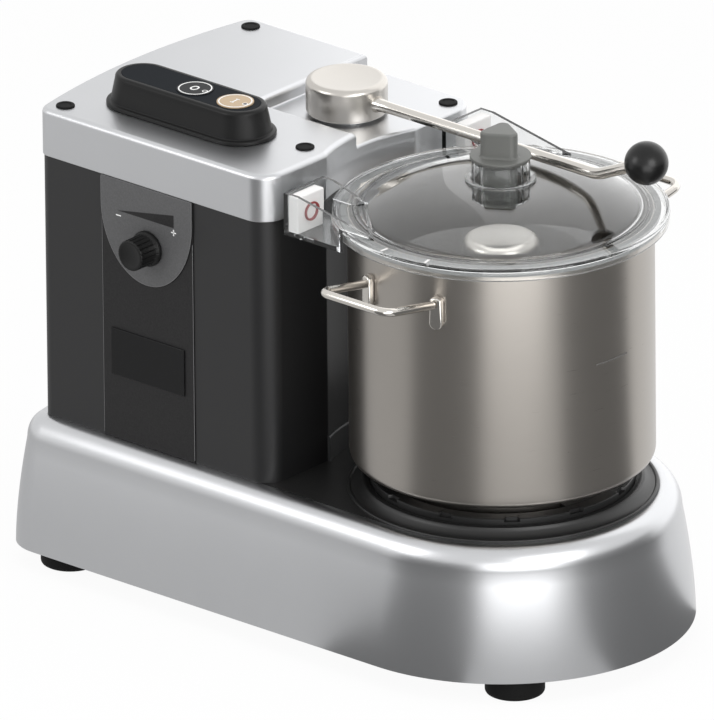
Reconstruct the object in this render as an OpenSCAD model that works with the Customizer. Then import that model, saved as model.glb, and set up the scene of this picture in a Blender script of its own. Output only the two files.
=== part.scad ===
// Vertical cutter mixer: a bench food machine with a steel bowl, a clear lid
// held by a swinging lever, and a belt-driven spindle with two pairs of blades.
// Millimetres, +Z up. The origin is on the bench, under the middle of the machine.
// X runs along the length with the bowl at the +X end, and the controls face -Y.

/* [Base] */
// Width of the base's rim round the bowl's seat
seat_rim = 24.5; // [22:0.5:28]
// Height of the base over its lower edge
base_h = 93; // [88:1:100]
// Thickness of the cast wall
base_wall = 4; // [3:0.5:5]
// Radius of the bulged rear end
rear_r = 525; // [480:5:600]
// Radius of the rear corners at the lower edge
corner_r = 32; // [31.5:0.5:34]
// How far the wall leans in below its shoulder
wall_lean = 8.8; // [7:0.2:10]
// Height of the rounded shoulder
shoulder_h = 17; // [14:1:20]
// Set-back of the flat ledge that the tower stands on
ledge_in = 21.5; // [20:0.5:22]
// Set-back of the top plate's border
border_in = 25.4; // [24:0.2:26]
// Width of the lip that carries the top plate
lip_w = 4.6; // [3:0.2:5]
// Thickness of that lip
lip_t = 3; // [2:0.5:4]
// Thickness of the black top plate
plate_t = 3; // [2:0.5:4]
// Thickness of the steel bottom plate
floor_t = 2; // [1.5:0.5:3]

/* [Feet] */
// Height of the feet
foot_h = 15; // [12:1:20]
// Diameter of a foot
foot_d = 41; // [36:1:44]
// Front feet: distance of their centres in from the round edge
foot_in = 24; // [22:0.5:30]
// Rear feet: distance of their centres in from the rear edge
foot_rear_in = 49.5; // [45:0.5:60]
// Rear feet: distance of their centres in from the side
foot_side_in = 31.5; // [28:0.5:40]
// Radius of a foot screw's shank
foot_screw_r = 2.5; // [2:0.25:3]

/* [Bowl seat] */
// How far the seat's bead reaches past the bowl
seat_over = 2; // [0:0.5:4]
// Set-back of the skirt's top edge from the bowl's wall
skirt_in = 9; // [7:0.5:11]
// Height of the skirt
seat_skirt_h = 7; // [5:0.5:9]
// Set-back of the bayonet collar from the bowl's wall
collar_back = 14; // [13:0.5:18]
// Width of the bayonet collar
collar_band = 10; // [8:0.5:12]
// Height of the bayonet collar
collar_h = 11; // [10:0.5:13]
// Number of bayonet hooks and lugs
hook_n = 3; // [2:1:4]
// Angle that one hook covers
hook_deg = 34; // [30:1:36]
// Number of notches round the collar
notch_n = 12; // [6:1:16]

/* [Bowl] */
// Outer radius of the bowl
bowl_r = 104; // [100:1:105]
// Height of the bowl
bowl_h = 176.5; // [170:0.5:182]
// Height of the bowl's underside over the base's top
bowl_lift = 22.5; // [21:0.5:25]
// Thickness of the bowl's steel
bowl_wall = 1.5; // [1:0.25:2]
// Radius of the bowl's lower edge
bowl_edge_r = 7; // [4:0.5:10]
// Outer radius of the centre tube
tube_r = 16; // [15:0.5:16.5]
// Thickness of the centre tube
tube_t = 2; // [1.5:0.25:2.5]
// Distance of the centre tube's top below the bowl's rim
tube_drop = 39; // [36:0.5:46]
// Width of the hooks between the collar and the bayonet ring
hook_w = 6.3; // [5:0.1:8]
// Thickness of the bayonet ring
ring_t = 6; // [4:0.5:8]
// Angle that one bayonet lug covers
lug_deg = 24; // [20:1:25]
// Height of the level line over the bowl's underside
level_z = 97; // [80:1:120]
// Length of the level line
level_l = 30; // [20:1:40]

/* [Bowl handles] */
// Radius of the handle rod
rod_r = 3; // [2.5:0.25:3.5]
// Half the distance between a handle's arms
arm_x = 30; // [26:1:34]
// Distance that a handle stands out from its bend
arm_l = 43; // [38:1:48]
// Upward tilt of the arms in degrees
arm_tilt = 10.6; // [0:0.2:15]
// Radius of the handle's outer corners
grip_r = 9; // [7:0.5:12]
// Radius of the bend at the bowl
bend_r = 6; // [5:0.5:8]
// Distance of the arms' roots below the bowl's rim
arm_drop = 27.5; // [26:0.5:34]
// Length of the rod's end that lies down the bowl
leg_l = 12; // [8:1:16]
// Width of a weld plate
weld_w = 10; // [9:0.5:14]
// Height of a weld plate
weld_h = 22; // [18:1:26]
// Thickness of a weld plate
weld_t = 1.6; // [1:0.2:2]

/* [Lid] */
// How far the lid's flange reaches past the bowl
lid_over = 10.5; // [8:0.5:12]
// Thickness of the clear sheet
lid_t = 3; // [2:0.25:3]
// Height of the lid's skirt
skirt_h = 9.1; // [7:0.1:10]
// Set-back of the dome's foot from the bowl's wall
dome_in = 6; // [5:0.5:12]
// Rise of the dome
dome_rise = 20; // [18:0.5:20.5]
// Outer radius of the filling chimney, across its corners
chimney_r = 20.4; // [19:0.1:22]
// Number of flats round the chimney
chimney_n = 12; // [10:1:12]
// Inner radius of the chimney
chimney_in_r = 17.5; // [16:0.1:18]
// Height of the chimney over the dome's top
chimney_h = 15.7; // [12:0.1:18]
// Depth of the chimney below the dome's top
chimney_drop = 14; // [10:0.5:16]
// Radius of the ring at the chimney's foot
chimney_ring_r = 24.2; // [23:0.1:25]

/* [Lid ears] */
// Ears: distance of the back wall past the bowl's wall
ear_over = 2; // [0:0.5:5]
// Ears: distance of the outer wall in from the bowl's wall
ear_side = 2.5; // [1:0.5:5]
// Width of the ears at their back wall
ear_w = 40.5; // [37:0.5:43]
// Width of the ears at their tip
ear_tip_w = 25.5; // [22:0.5:30]
// Height of the ears
ear_h = 30; // [26:1:32]
// Height of the ears' top over the lid's skirt
ear_up = 22.6; // [20:0.2:24]
// Thickness of the ears' walls
ear_t = 2.5; // [2:0.25:3]
// Ears: distance behind their tip where the top edge starts to slope
slope_l = 20; // [14:1:26]
// Ears: distance behind the bowl's axis where the slope meets the flange
slope_to = 15; // [10:1:24]
// Width of the safety magnet
magnet_w = 24; // [18:1:28]
// Height of the safety magnet
magnet_h = 20; // [16:1:24]

/* [Feed plug] */
// Radius of the plug's disc
plug_r = 20.9; // [20.6:0.1:22]
// Thickness of the disc
plug_t = 2.3; // [2:0.1:3]
// Depth of the plug's stem in the chimney
plug_stem = 8; // [6:0.5:10]
// Height of the plug's three-sided grip
grip_h = 18; // [14:0.5:22]
// Radius of the circle of the grip's corners
grip_out = 9; // [7:0.5:10]
// Corner radius of the grip
grip_corner = 5; // [4:0.5:6]

/* [Tower] */
// Length of the tower's cap
tower_l = 217.5; // [205:0.5:230]
// Height of the cap's top over the bowl's rim
cap_up = 26; // [24:0.5:32]
// Height of the aluminium cap
cap_h = 34; // [30:1:38]
// Set-back of the tower's sides from the base's edge
tower_in = 22; // [21.5:0.5:23]
// Step between the cap and the body under it
cap_step = 1; // [0.5:0.25:1.5]
// Distance of the tower's flat front behind the bowl's wall
front_gap = 12; // [11.5:0.5:14]
// Radius of the tower's front corners
nose_r = 17; // [14:0.5:20]
// Gap between the bowl and the hollow that faces it
pocket_gap = 21; // [20:0.5:23]
// Thickness of the tower body's wall
shell_t = 3; // [2:0.5:4]
// Thickness of the cap's sheet
cap_t = 3; // [2:0.5:4]
// Height of the band at the hollow's foot
band_h = 18; // [12:1:24]
// How far that band stands out
band_t = 2; // [1:0.5:2.5]

/* [Cap recess] */
// Depth of the recess that the lever swings in
recess_d = 10; // [9:0.5:12]
// Distance of its back wall ahead of the tower's middle
recess_fore = 9.75; // [5:0.25:15]
// Place of its side wall, past the middle line
recess_y = 5.5; // [3:0.5:8]
// Radius of its inner corner
recess_r = 11; // [8:0.5:14]
// Radius of a cap plug
stud_r = 6.5; // [5.5:0.25:7.5]
// Height of a cap plug over the cap
stud_h = 1.2; // [0.8:0.1:2]

/* [Lever] */
// Pivot: distance ahead of the tower's middle
pivot_fore = 53.25; // [50:0.25:56]
// Pivot: distance past the middle line
pivot_y = 38; // [36:0.5:40]
// Radius of the hub cap
hub_r = 28; // [25:0.5:30]
// Height of the hub cap
hub_h = 23.8; // [20:0.2:26]
// Rounding of the hub cap's top edge
hub_edge = 4; // [2:0.5:5]
// Radius of the pivot pin
pin_r = 10; // [8:0.5:11]
// Length of the pivot pin
pin_l = 62; // [55:1:65]
// Radius of the lever's rod
lever_r = 4; // [3.5:0.25:4.5]
// Height of the rod's axis over the hub's underside
lever_z = 11; // [10:0.5:13]
// Knee: distance in from the bowl's front wall
knee_in = 50; // [44:1:56]
// Rise of the rod past the knee in degrees
knee_deg = 24; // [18:1:28]
// Length of the rod from the knee to the ball's centre
tip_l = 47.5; // [42:0.5:52]
// Radius of the ball
ball_r = 15; // [13:0.5:17]

/* [Button pod] */
// Pod: distance between the centres of its round ends
pod_l = 87.5; // [84:0.5:92]
// Pod: distance of its middle behind the tower's middle
pod_back = 4.5; // [2:0.5:6]
// Pod: distance of its middle line from the machine's
pod_y = 56; // [52:1:60]
// Radius of the pod's ends at its flange
pod_r = 25.2; // [24:0.2:27]
// Radius of the pod's ends at the top
pod_top_r = 19; // [18:0.5:21]
// Height of the pod
pod_h = 22; // [18:1:26]
// Thickness of the pod's flange
pod_flange = 3; // [2:0.5:4]
// Radius of the ends of the inset plate
inlay_r = 14.6; // [14:0.1:16]
// Radius of a push button
button_r = 12.7; // [11:0.1:13]
// Stop button: distance ahead of the pod's middle
off_fore = 3.75; // [0:0.25:8]
// Start button: distance ahead of the pod's middle
on_fore = 40.05; // [37:0.05:43]
// Travel of a button
press = 0.8; // [0.5:0.1:1.2]

/* [Controls on the side] */
// Strip: distance of its middle ahead of the tower's middle
strip_fore = 0.75; // [-4:0.25:4]
// Width of the strip
strip_w = 82; // [76:1:86]
// Thickness of the strip
strip_t = 0.8; // [0.5:0.1:1]
// Height of the half-oval dial panel
dial_h = 71; // [60:1:80]
// Distance of the knob's axis below the cap
knob_drop = 43; // [36:1:50]
// Radius of the knob's face
knob_r = 11; // [9:0.5:12]
// Radius of the knob's skirt
knob_skirt_r = 13; // [12:0.5:14]
// How far the knob stands out
knob_l = 19; // [16:0.5:22]
// Number of flutes on the knob
flute_n = 18; // [12:1:24]
// Width of the bare name plate
name_w = 66; // [56:1:72]
// Height of the bare name plate
name_h = 34; // [26:1:40]
// Height of the name plate's lower edge over the base's top
name_z = 47; // [40:1:60]

/* [Drive] */
// Distance of the motor's axis behind the tower's middle
motor_back = 10.25; // [6:0.25:14]
// Radius of the motor's can
motor_r = 52; // [48:1:54]
// Length of the motor's can
motor_l = 158; // [150:1:165]
// Radius of the motor's shaft
shaft_r = 8; // [7:0.5:9]
// Pitch radius of the driven pulley
driven_r = 45; // [40:1:50]
// Pitch radius of the drive pulley
drive_r = 18; // [16:1:20]
// Width of the pulleys
pulley_w = 18; // [14:1:20]
// Width of the belt
belt_w = 12; // [10:1:13]
// Thickness of the belt
belt_t = 3; // [2:0.5:4]
// Radius of the spindle's journal
journal_r = 10; // [9:0.5:11]
// Radius of the spindle's bearings
bearing_r = 20; // [18:0.5:21]
// Width of a bearing
bearing_w = 12; // [10:1:14]

/* [Blades] */
// Gap between the blades' tips and the bowl
blade_gap = 2.5; // [1.5:0.5:8]
// Thickness of a blade
blade_t = 2.5; // [2:0.25:3]
// Sweep of a blade in degrees
blade_deg = 62; // [40:1:75]
// Height of the lower blade over the bowl's floor
blade_low = 5; // [4:0.5:8]
// Distance between the two blades
blade_pitch = 30; // [24:1:40]
// Outer radius of the hub's sleeve
sleeve_r = 23; // [22:0.5:24]
// Thickness of the hub's sleeve
sleeve_t = 4.5; // [4:0.25:5]
// Radius of the hub's head
head_r = 26; // [25:0.5:28]
// Height of the hub's head
head_h = 28; // [24:1:32]

/* [Fits] */
// Radial clearance of a shaft that turns in its bore
run_fit = 0.05; // [0.02:0.01:0.08]
// Gap between pieces that only lie side by side
gap = 0.3; // [0.25:0.05:0.35]

/* [Hidden] */
$fn = 128;

// Colours
aluminium = [0.80, 0.80, 0.81];
steel = [0.66, 0.64, 0.62];
black = [0.10, 0.10, 0.10];
rubber = [0.05, 0.05, 0.05];
clear = [0.85, 0.90, 0.92, 0.35];
grey = [0.43, 0.43, 0.42];
copper = [0.62, 0.38, 0.24];
tan = [0.70, 0.61, 0.49];

// One overrun for every cut that must pass a face
over = 1;

// Radii that follow from the bowl's
seat_r = bowl_r + seat_over;
seat_skirt_r = bowl_r - skirt_in;
collar_r = bowl_r - collar_back;
collar_in_r = collar_r - collar_band;
ring_r = collar_in_r - hook_w;
lid_r = bowl_r + lid_over;
dome_r = bowl_r - dome_in;
blade_r = bowl_r - bowl_wall - blade_gap;
tower_front = bowl_r + front_gap;
pocket_r = bowl_r + pocket_gap;

// Places along the tower, behind the bowl's axis
tower_mid = tower_front + tower_l / 2;
recess_back = tower_mid - recess_fore;
pivot_x = tower_mid - pivot_fore;
pod_x = tower_mid + pod_back;
off_x = pod_x - off_fore;
on_x = pod_x - on_fore;
strip_x = tower_mid - strip_fore - strip_w / 2;
motor_x = tower_mid + motor_back;
knee_x = bowl_r - knee_in;

// Places that follow from the base
base_w = 2 * (seat_r + seat_rim);
base_l = base_w / 2 + tower_front + tower_l + tower_in;
bowl_x = (base_l - base_w) / 2;
foot_front = (base_w / 2 - foot_in) * cos(45);
foot_rear_x = base_l - base_w / 2 - foot_rear_in;
foot_rear_y = base_w / 2 - foot_side_in;
deck_z = foot_h + base_h;
plate_z = deck_z - plate_t;
arc_x = rear_r + base_w / 2 - base_l;
corner_y = base_w / 2 - corner_r;
corner_x = arc_x - sqrt(pow(rear_r - corner_r, 2) - pow(corner_y, 2));
rear_half = asin(corner_y / (rear_r - corner_r));
wedge_share = 1.2;
shoulder_z = base_h - shoulder_h;
shoulder_w = ledge_in - wall_lean;
lean_power = 1.6;
lean_steps = 5;
shoulder_steps = 5;
front_steps = 48;
corner_steps = 8;
rear_steps = 8;

// Places that follow from the bowl
bowl_z = deck_z + bowl_lift;
rim_z = bowl_z + bowl_h;
tube_h = bowl_h - tube_drop;
floor_z = bowl_z + bowl_wall;
seat_floor = 2.5;
ring_z = deck_z + seat_floor + gap;
hook_t = 3;
lug_r = collar_in_r - gap;

// Places that follow from the lid
flange_z = rim_z + gap;
skirt_z = flange_z + lid_t - skirt_h;
dome_z = flange_z + lid_t;
dome_t = 2.5;
dome_top = dome_z + dome_rise;
dome_ball_r = pow(dome_r - chimney_ring_r, 2) / (2 * dome_rise) + dome_rise / 2;
dome_steps = 14;
chimney_top = dome_top + chimney_h;
ear_top = skirt_z + ear_up;

// Places that follow from the tower
cap_top = rim_z + cap_up;
cap_z = cap_top - cap_h;
body_h = cap_z - deck_z;
knob_z = body_h - knob_drop;
recess_z = cap_top - recess_d;
side_y = base_w / 2 - tower_in - cap_step;
boss_h = 1.7;
hub_z = recess_z + boss_h + gap;
lever_axis_z = hub_z + lever_z;

// Places of the cap's plugs behind the bowl's axis and past the middle line, and of the tie rods
plug_rear_in = 24.5;
plug_side_in = 13.5;
plug_near_in = 18.5;
plug_far_in = 14;
plug_rear_x = tower_front + tower_l - plug_rear_in;
plug_rear_y = base_w / 2 - tower_in - plug_side_in;
plug_near_x = tower_front + plug_near_in;
plug_near_y = 47;
plug_far_x = tower_front + plug_far_in;
plug_far_y = plug_rear_y;
stud_sites = [
    [-plug_rear_x, -plug_rear_y, cap_top],
    [-plug_rear_x, plug_rear_y, cap_top],
    [-plug_near_x, -plug_near_y, cap_top],
    [-plug_far_x, plug_far_y, recess_z]
];
rod_screw_r = 5;
stud_stem = 2;

// Heights in the drive
pulley_gap = 4;
housing_gap = 1;
housing_wall = 7;
neck_wall = 4;
neck_gap = 3.5;
pulley_z = foot_h + floor_t + pulley_gap;
spindle_z = pulley_z + pulley_w + housing_gap;
housing_r = bearing_r + housing_wall;
neck_r = bearing_r + neck_wall;
neck_h = bowl_lift - neck_gap;
housing_flange_r = 58;
housing_flange_t = 4;
motor_plate_t = 4;
motor_z = deck_z + motor_plate_t;
motor_wall = 3;
fan_r = 45;
fan_h = 12;
fan_n = 8;
fan_gap = 3;
fan_hub_t = 6;
vane_t = 2;
tube_top = bowl_z + tube_h;
shaft_rise = 16;
shaft_top = tube_top + shaft_rise;
sleeve_gap = 2;
sleeve_z = floor_z + sleeve_gap;
crown_t = 6;
head_top = shaft_top + crown_t;
tube_gap = 4;

// Frame of the bowl's axis, in which every place below is given
module at_axis() { translate([bowl_x, 0, 0]) children(); }

// Ring or disc that is turned from one rectangle
module washer(r_out, r_in, z, h) {
    translate([0, 0, z]) difference() {
        cylinder(h = h, r = r_out);
        translate([0, 0, -over]) cylinder(h = h + 2 * over, r = r_in);
    }
}

// Plan of the base, set in by a distance, that ends at a flat or round front
module plan(inset, front, nose) {
    half = base_w / 2 - inset;
    far_x = arc_x - wedge_share * rear_r * cos(rear_half);
    far_y = wedge_share * rear_r * sin(rear_half);
    translate([corner_x, -half]) square([front - nose - corner_x, 2 * half]);
    if (half > nose) translate([front - nose, nose - half]) square([nose, 2 * (half - nose)]);
    for (s = [-1, 1]) {
        translate([front - nose, s * (half - nose)]) circle(nose);
        translate([corner_x, s * corner_y]) circle(corner_r - inset);
    }
    intersection() {
        translate([arc_x, 0]) circle(rear_r - inset);
        polygon([[corner_x, corner_y], [far_x, far_y], [far_x, -far_y], [corner_x, -corner_y]]);
    }
}

// Section of the cast wall, from the lower edge up and over the shoulder and back down inside
function lean(share) = -wall_lean * pow(share, lean_power);
function wall_section(r) = concat(
    [for (i = [0:lean_steps]) [r + lean(i / lean_steps), foot_h + shoulder_z * i / lean_steps]],
    [for (i = [1:shoulder_steps]) let (t = 90 * i / shoulder_steps)
        [r - ledge_in + shoulder_w * cos(t), foot_h + shoulder_z + shoulder_h * sin(t)]],
    [[r - border_in, deck_z], [r - border_in, plate_z],
     [r - border_in - lip_w, plate_z], [r - border_in - lip_w, plate_z - lip_t]],
    [for (i = [shoulder_steps:-1:1]) let (t = 90 * i / shoulder_steps)
        [r - ledge_in + (shoulder_w - base_wall) * cos(t),
         foot_h + shoulder_z + (shoulder_h - plate_t - lip_t) * sin(t)]],
    [for (i = [lean_steps:-1:0])
        [r + lean(i / lean_steps) - base_wall, foot_h + shoulder_z * i / lean_steps]]
);

// Stations round the plan, each with its arc's centre and radius and the direction out of it
wall_stations = concat(
    [for (i = [0:front_steps]) [0, 0, base_w / 2, 180 * i / front_steps - 90]],
    [for (i = [0:corner_steps]) [corner_x, corner_y, corner_r, 90 + (90 - rear_half) * i / corner_steps]],
    [for (i = [1:rear_steps]) [arc_x, 0, rear_r, 180 - rear_half + 2 * rear_half * i / rear_steps]],
    [for (i = [1:corner_steps])
        [corner_x, -corner_y, corner_r, 180 + rear_half + (90 - rear_half) * i / corner_steps]]
);
wall_points = [for (c = wall_stations, p = wall_section(c[2]))
    [c[0] + p[0] * cos(c[3]), c[1] + p[0] * sin(c[3]), p[1]]];
wall_n = len(wall_section(0));
station_n = len(wall_stations);
function wall_index(i, j) = (i % station_n) * wall_n + j % wall_n;
wall_faces = [for (i = [0:station_n - 1], j = [0:wall_n - 1], k = [0, 1])
    [wall_index(i, j), wall_index(i + k, j + 1), wall_index(i + 1, j + 1 - k)]];

// Place and size of the cord gland in the rear wall
gland_z = foot_h + 35;
gland_r = 11;
gland_stem_r = 7;
gland_bore_r = 3.6;
gland_t = 3.5;
gland_stem_l = 8;
gland_face = base_l - base_w / 2 - gland_t;

module base_shell() color(aluminium) at_axis() difference() {
    polyhedron(wall_points, wall_faces);
    translate([-gland_face, 0, gland_z]) rotate([0, -90, 0]) cylinder(h = gland_stem_l, r = gland_r + gap);
    translate([-gland_face, 0, gland_z]) rotate([0, 90, 0]) cylinder(h = gland_stem_l, r = gland_stem_r);
}

module cord_gland() color(black) at_axis() translate([-gland_face, 0, gland_z]) rotate([0, -90, 0])
    difference() {
        union() {
            cylinder(h = gland_t, r = gland_r);
            translate([0, 0, -gland_stem_l]) cylinder(h = gland_stem_l, r = gland_stem_r);
        }
        translate([0, 0, -gland_stem_l - over])
            cylinder(h = gland_stem_l + gland_t + 2 * over, r = gland_bore_r);
    }

// Feet, their screws and the bottom plate
foot_sites = [
    [foot_front, -foot_front], [foot_front, foot_front],
    [-foot_rear_x, -foot_rear_y], [-foot_rear_x, foot_rear_y]
];
foot_edge = 1.5;
screw_head_r = 5;
screw_head_h = 3.5;
screw_head_z = 3;
nut_h = 4;
slot_l = 46;
slot_w = 5;
slot_pitch = 14;
slot_n = 7;

module foot(i) color(rubber) at_axis() translate(concat(foot_sites[i], [0])) difference() {
    union() {
        cylinder(h = foot_edge, r1 = foot_d / 2 - foot_edge, r2 = foot_d / 2);
        translate([0, 0, foot_edge]) cylinder(h = foot_h - foot_edge, r = foot_d / 2);
    }
    translate([0, 0, -over]) cylinder(h = screw_head_z + screw_head_h + over, r = screw_head_r + gap);
    cylinder(h = foot_h + over, r = foot_screw_r);
}

module foot_screws() color(steel) at_axis() for (p = foot_sites) translate(concat(p, [0])) {
    translate([0, 0, screw_head_z]) cylinder(h = screw_head_h, r = screw_head_r);
    translate([0, 0, screw_head_z + screw_head_h])
        cylinder(h = foot_h + floor_t - screw_head_z - screw_head_h, r = foot_screw_r);
    translate([0, 0, foot_h + floor_t]) cylinder(h = nut_h, r = screw_head_r);
}

module base_plate() color(steel) at_axis() translate([0, 0, foot_h]) difference() {
    edge = base_wall + gap;
    linear_extrude(floor_t) plan(edge, base_w / 2 - edge, base_w / 2 - edge);
    for (p = foot_sites) translate(concat(p, [-over])) cylinder(h = floor_t + 2 * over, r = foot_screw_r);
    for (i = [0:slot_n - 1]) translate([-motor_x + (i - (slot_n - 1) / 2) * slot_pitch, 0, -over])
        linear_extrude(floor_t + 2 * over) square([slot_w, slot_l], center = true);
}

// Black plate that closes the base's top
belt_hole_r = 36;
module top_plate() color(black) at_axis() translate([0, 0, plate_z]) difference() {
    edge = border_in + gap;
    linear_extrude(plate_t) plan(edge, base_w / 2 - edge, base_w / 2 - edge);
    translate([0, 0, -over]) cylinder(h = plate_t + 2 * over, r = neck_r + gap);
    translate([-motor_x, 0, -over]) cylinder(h = plate_t + 2 * over, r = belt_hole_r);
}

// Seat with its bead, sloping skirt, groove and bayonet collar
bead_w = 2.4;
bead_h = 1.6;
groove_w = 1;
notch_w = 9;
notch_d = 3;
notch_h = 2.5;
module bowl_seat() color(black) at_axis() translate([0, 0, deck_z]) {
    difference() {
        rotate_extrude() polygon([
            [neck_r + gap, 0], [seat_r, 0], [seat_r, bead_h], [seat_r - bead_w, bead_h],
            [seat_r - bead_w, bead_h / 2], [seat_skirt_r + groove_w, seat_skirt_h - groove_w],
            [seat_skirt_r, seat_skirt_h], [collar_r + groove_w, seat_skirt_h],
            [collar_r + groove_w, seat_skirt_h / 2], [collar_r, seat_skirt_h / 2],
            [collar_r, collar_h], [collar_in_r, collar_h], [collar_in_r, seat_floor],
            [neck_r + gap, seat_floor]
        ]);
        for (i = [0:notch_n - 1]) rotate([0, 0, (i + 1 / 2) * 360 / notch_n])
            translate([collar_r - notch_d, -notch_w / 2, collar_h - notch_h])
                cube([notch_d + over, notch_w, notch_h + over]);
    }
    for (i = [0:hook_n - 1]) rotate([0, 0, i * 360 / hook_n - hook_deg / 2])
        rotate_extrude(angle = hook_deg) translate([ring_r + gap, collar_h - hook_t])
            square([collar_in_r - ring_r, hook_t]);
}

// Spindle housing with its two bearings
module spindle_housing() color(aluminium) at_axis() difference() {
    union() {
        translate([0, 0, spindle_z]) cylinder(h = plate_z - spindle_z, r = housing_r);
        translate([0, 0, plate_z - housing_flange_t]) cylinder(h = housing_flange_t, r = housing_flange_r);
        translate([0, 0, plate_z]) cylinder(h = plate_t + neck_h, r = neck_r);
    }
    translate([0, 0, spindle_z - over]) cylinder(h = bearing_w + over, r = bearing_r);
    translate([0, 0, spindle_z]) cylinder(h = plate_z + neck_h, r = journal_r + over);
    translate([0, 0, deck_z + neck_h - bearing_w]) cylinder(h = bearing_w + over, r = bearing_r);
}

module spindle_bearings() color(steel) at_axis() for (z = [spindle_z, deck_z + neck_h - bearing_w])
    washer(bearing_r, journal_r + run_fit, z, bearing_w);

// Belt round both pulleys
belt_z = pulley_z + (pulley_w - belt_w) / 2;
module belt_outline(extra) {
    beta = asin((driven_r - drive_r) / motor_x);
    r_big = driven_r + extra;
    r_small = drive_r + extra;
    circle(r_big);
    translate([-motor_x, 0]) circle(r_small);
    polygon([
        [-r_big * sin(beta), r_big * cos(beta)],
        [-motor_x - r_small * sin(beta), r_small * cos(beta)],
        [-motor_x - r_small * sin(beta), -r_small * cos(beta)],
        [-r_big * sin(beta), -r_big * cos(beta)]
    ]);
}
module drive_belt() color(rubber) at_axis() translate([0, 0, belt_z]) linear_extrude(belt_w)
    difference() {
        belt_outline(gap + belt_t);
        belt_outline(gap);
    }

// Motor, from its plate up
can_top = motor_z + motor_l;
core_gap = 0.6;
stator_t = 15;
core_r = motor_r - motor_wall - stator_t;
core_end = 30;
core_l = motor_l - 2 * core_end;
core_z = motor_z + core_end;
plate_rim = 8;
plate_half = motor_r + plate_rim;
module motor_plate() color(steel) at_axis() translate([-motor_x, 0, deck_z]) difference() {
    translate([-plate_half, -plate_half, 0]) cube([2 * plate_half, 2 * plate_half, motor_plate_t]);
    translate([0, 0, -over]) cylinder(h = motor_plate_t + 2 * over, r = drive_r + belt_t);
}

module motor_housing() color(grey) at_axis() translate([-motor_x, 0, 0]) difference() {
    translate([0, 0, motor_z]) cylinder(h = motor_l, r = motor_r);
    translate([0, 0, motor_z + motor_wall]) cylinder(h = motor_l - 2 * motor_wall, r = motor_r - motor_wall);
    translate([0, 0, motor_z - over]) cylinder(h = motor_l + 2 * over, r = shaft_r + run_fit);
}

module motor_stator() color(copper) at_axis() translate([-motor_x, 0, 0])
    washer(motor_r - motor_wall, core_r + core_gap, core_z, core_l);

module rotor_core() color(steel) at_axis() translate([-motor_x, 0, 0])
    washer(core_r, shaft_r, core_z, core_l);

module rotor_shaft() color(steel) at_axis() translate([-motor_x, 0, pulley_z])
    cylinder(h = can_top + fan_gap + fan_h - pulley_z, r = shaft_r);

module cooling_fan() color(black) at_axis() translate([-motor_x, 0, can_top + fan_gap]) {
    hub = shaft_r + fan_hub_t;
    washer(hub, shaft_r, 0, fan_h);
    difference() {
        for (i = [0:fan_n - 1]) rotate([0, 0, i * 360 / fan_n]) translate([0, -vane_t / 2, 0])
            cube([fan_r, vane_t, fan_h]);
        translate([0, 0, -over]) cylinder(h = fan_h + 2 * over, r = hub - over);
    }
    washer(fan_r, shaft_r, 0, vane_t);
}

// Pulley whose flanges keep the belt in place
flange_t = (pulley_w - belt_w) / 2 - gap;
module pulley(pitch, bore) {
    washer(pitch, bore, 0, pulley_w);
    for (z = [0, pulley_w - flange_t]) washer(pitch + belt_t, bore, z, flange_t);
}
module drive_pulley() color(aluminium) at_axis() translate([-motor_x, 0, pulley_z]) pulley(drive_r, shaft_r);
module driven_pulley() color(aluminium) at_axis() translate([0, 0, pulley_z]) pulley(driven_r, shaft_r);

module spindle_shaft() color(steel) at_axis() {
    translate([0, 0, pulley_z]) cylinder(h = spindle_z - pulley_z, r = shaft_r);
    translate([0, 0, spindle_z]) cylinder(h = deck_z + neck_h - spindle_z, r = journal_r);
    translate([0, 0, deck_z + neck_h]) cylinder(h = shaft_top - deck_z - neck_h, r = shaft_r);
}

// Tie rods that hold the cap down on the deck
module tie_rods() color(steel) at_axis() for (p = stud_sites) translate([p[0], p[1], deck_z])
    cylinder(h = p[2] - cap_t - deck_z, r = rod_screw_r);

// Plans of the tower's outside and inside
module tower_plan(inset, back, nose, hollow) difference() {
    plan(inset, -tower_front - back, nose);
    circle(hollow);
}

module tower_shell() color(black) at_axis() translate([0, 0, deck_z]) {
    difference() {
        linear_extrude(body_h)
            tower_plan(tower_in + cap_step, cap_step, nose_r - cap_step, pocket_r + cap_step);
        translate([0, 0, -over]) linear_extrude(body_h + 2 * over)
            tower_plan(tower_in + cap_step + shell_t, cap_step + shell_t,
                nose_r - cap_step - shell_t, pocket_r + cap_step + shell_t);
        translate([-knob_x, -side_y - over, knob_z]) rotate([-90, 0, 0])
            cylinder(h = shell_t + 2 * over, r = pot_neck_r + gap);
    }
    linear_extrude(band_h) intersection() {
        difference() {
            circle(pocket_r + cap_step + over);
            circle(pocket_r + cap_step - band_t);
        }
        translate([-tower_front - cap_step - base_w / 2, -base_w / 4]) square([base_w / 2, base_w / 2]);
    }
}

// Plan of the lever's recess, grown by a wall
module recess_plan(grow) {
    r = recess_r + grow;
    x = -recess_back - grow;
    y = -recess_y - grow;
    translate([x + r, y]) square([recess_back, base_w]);
    translate([x, y + r]) square([r, base_w]);
    translate([x + r, y + r]) circle(r);
}

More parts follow.
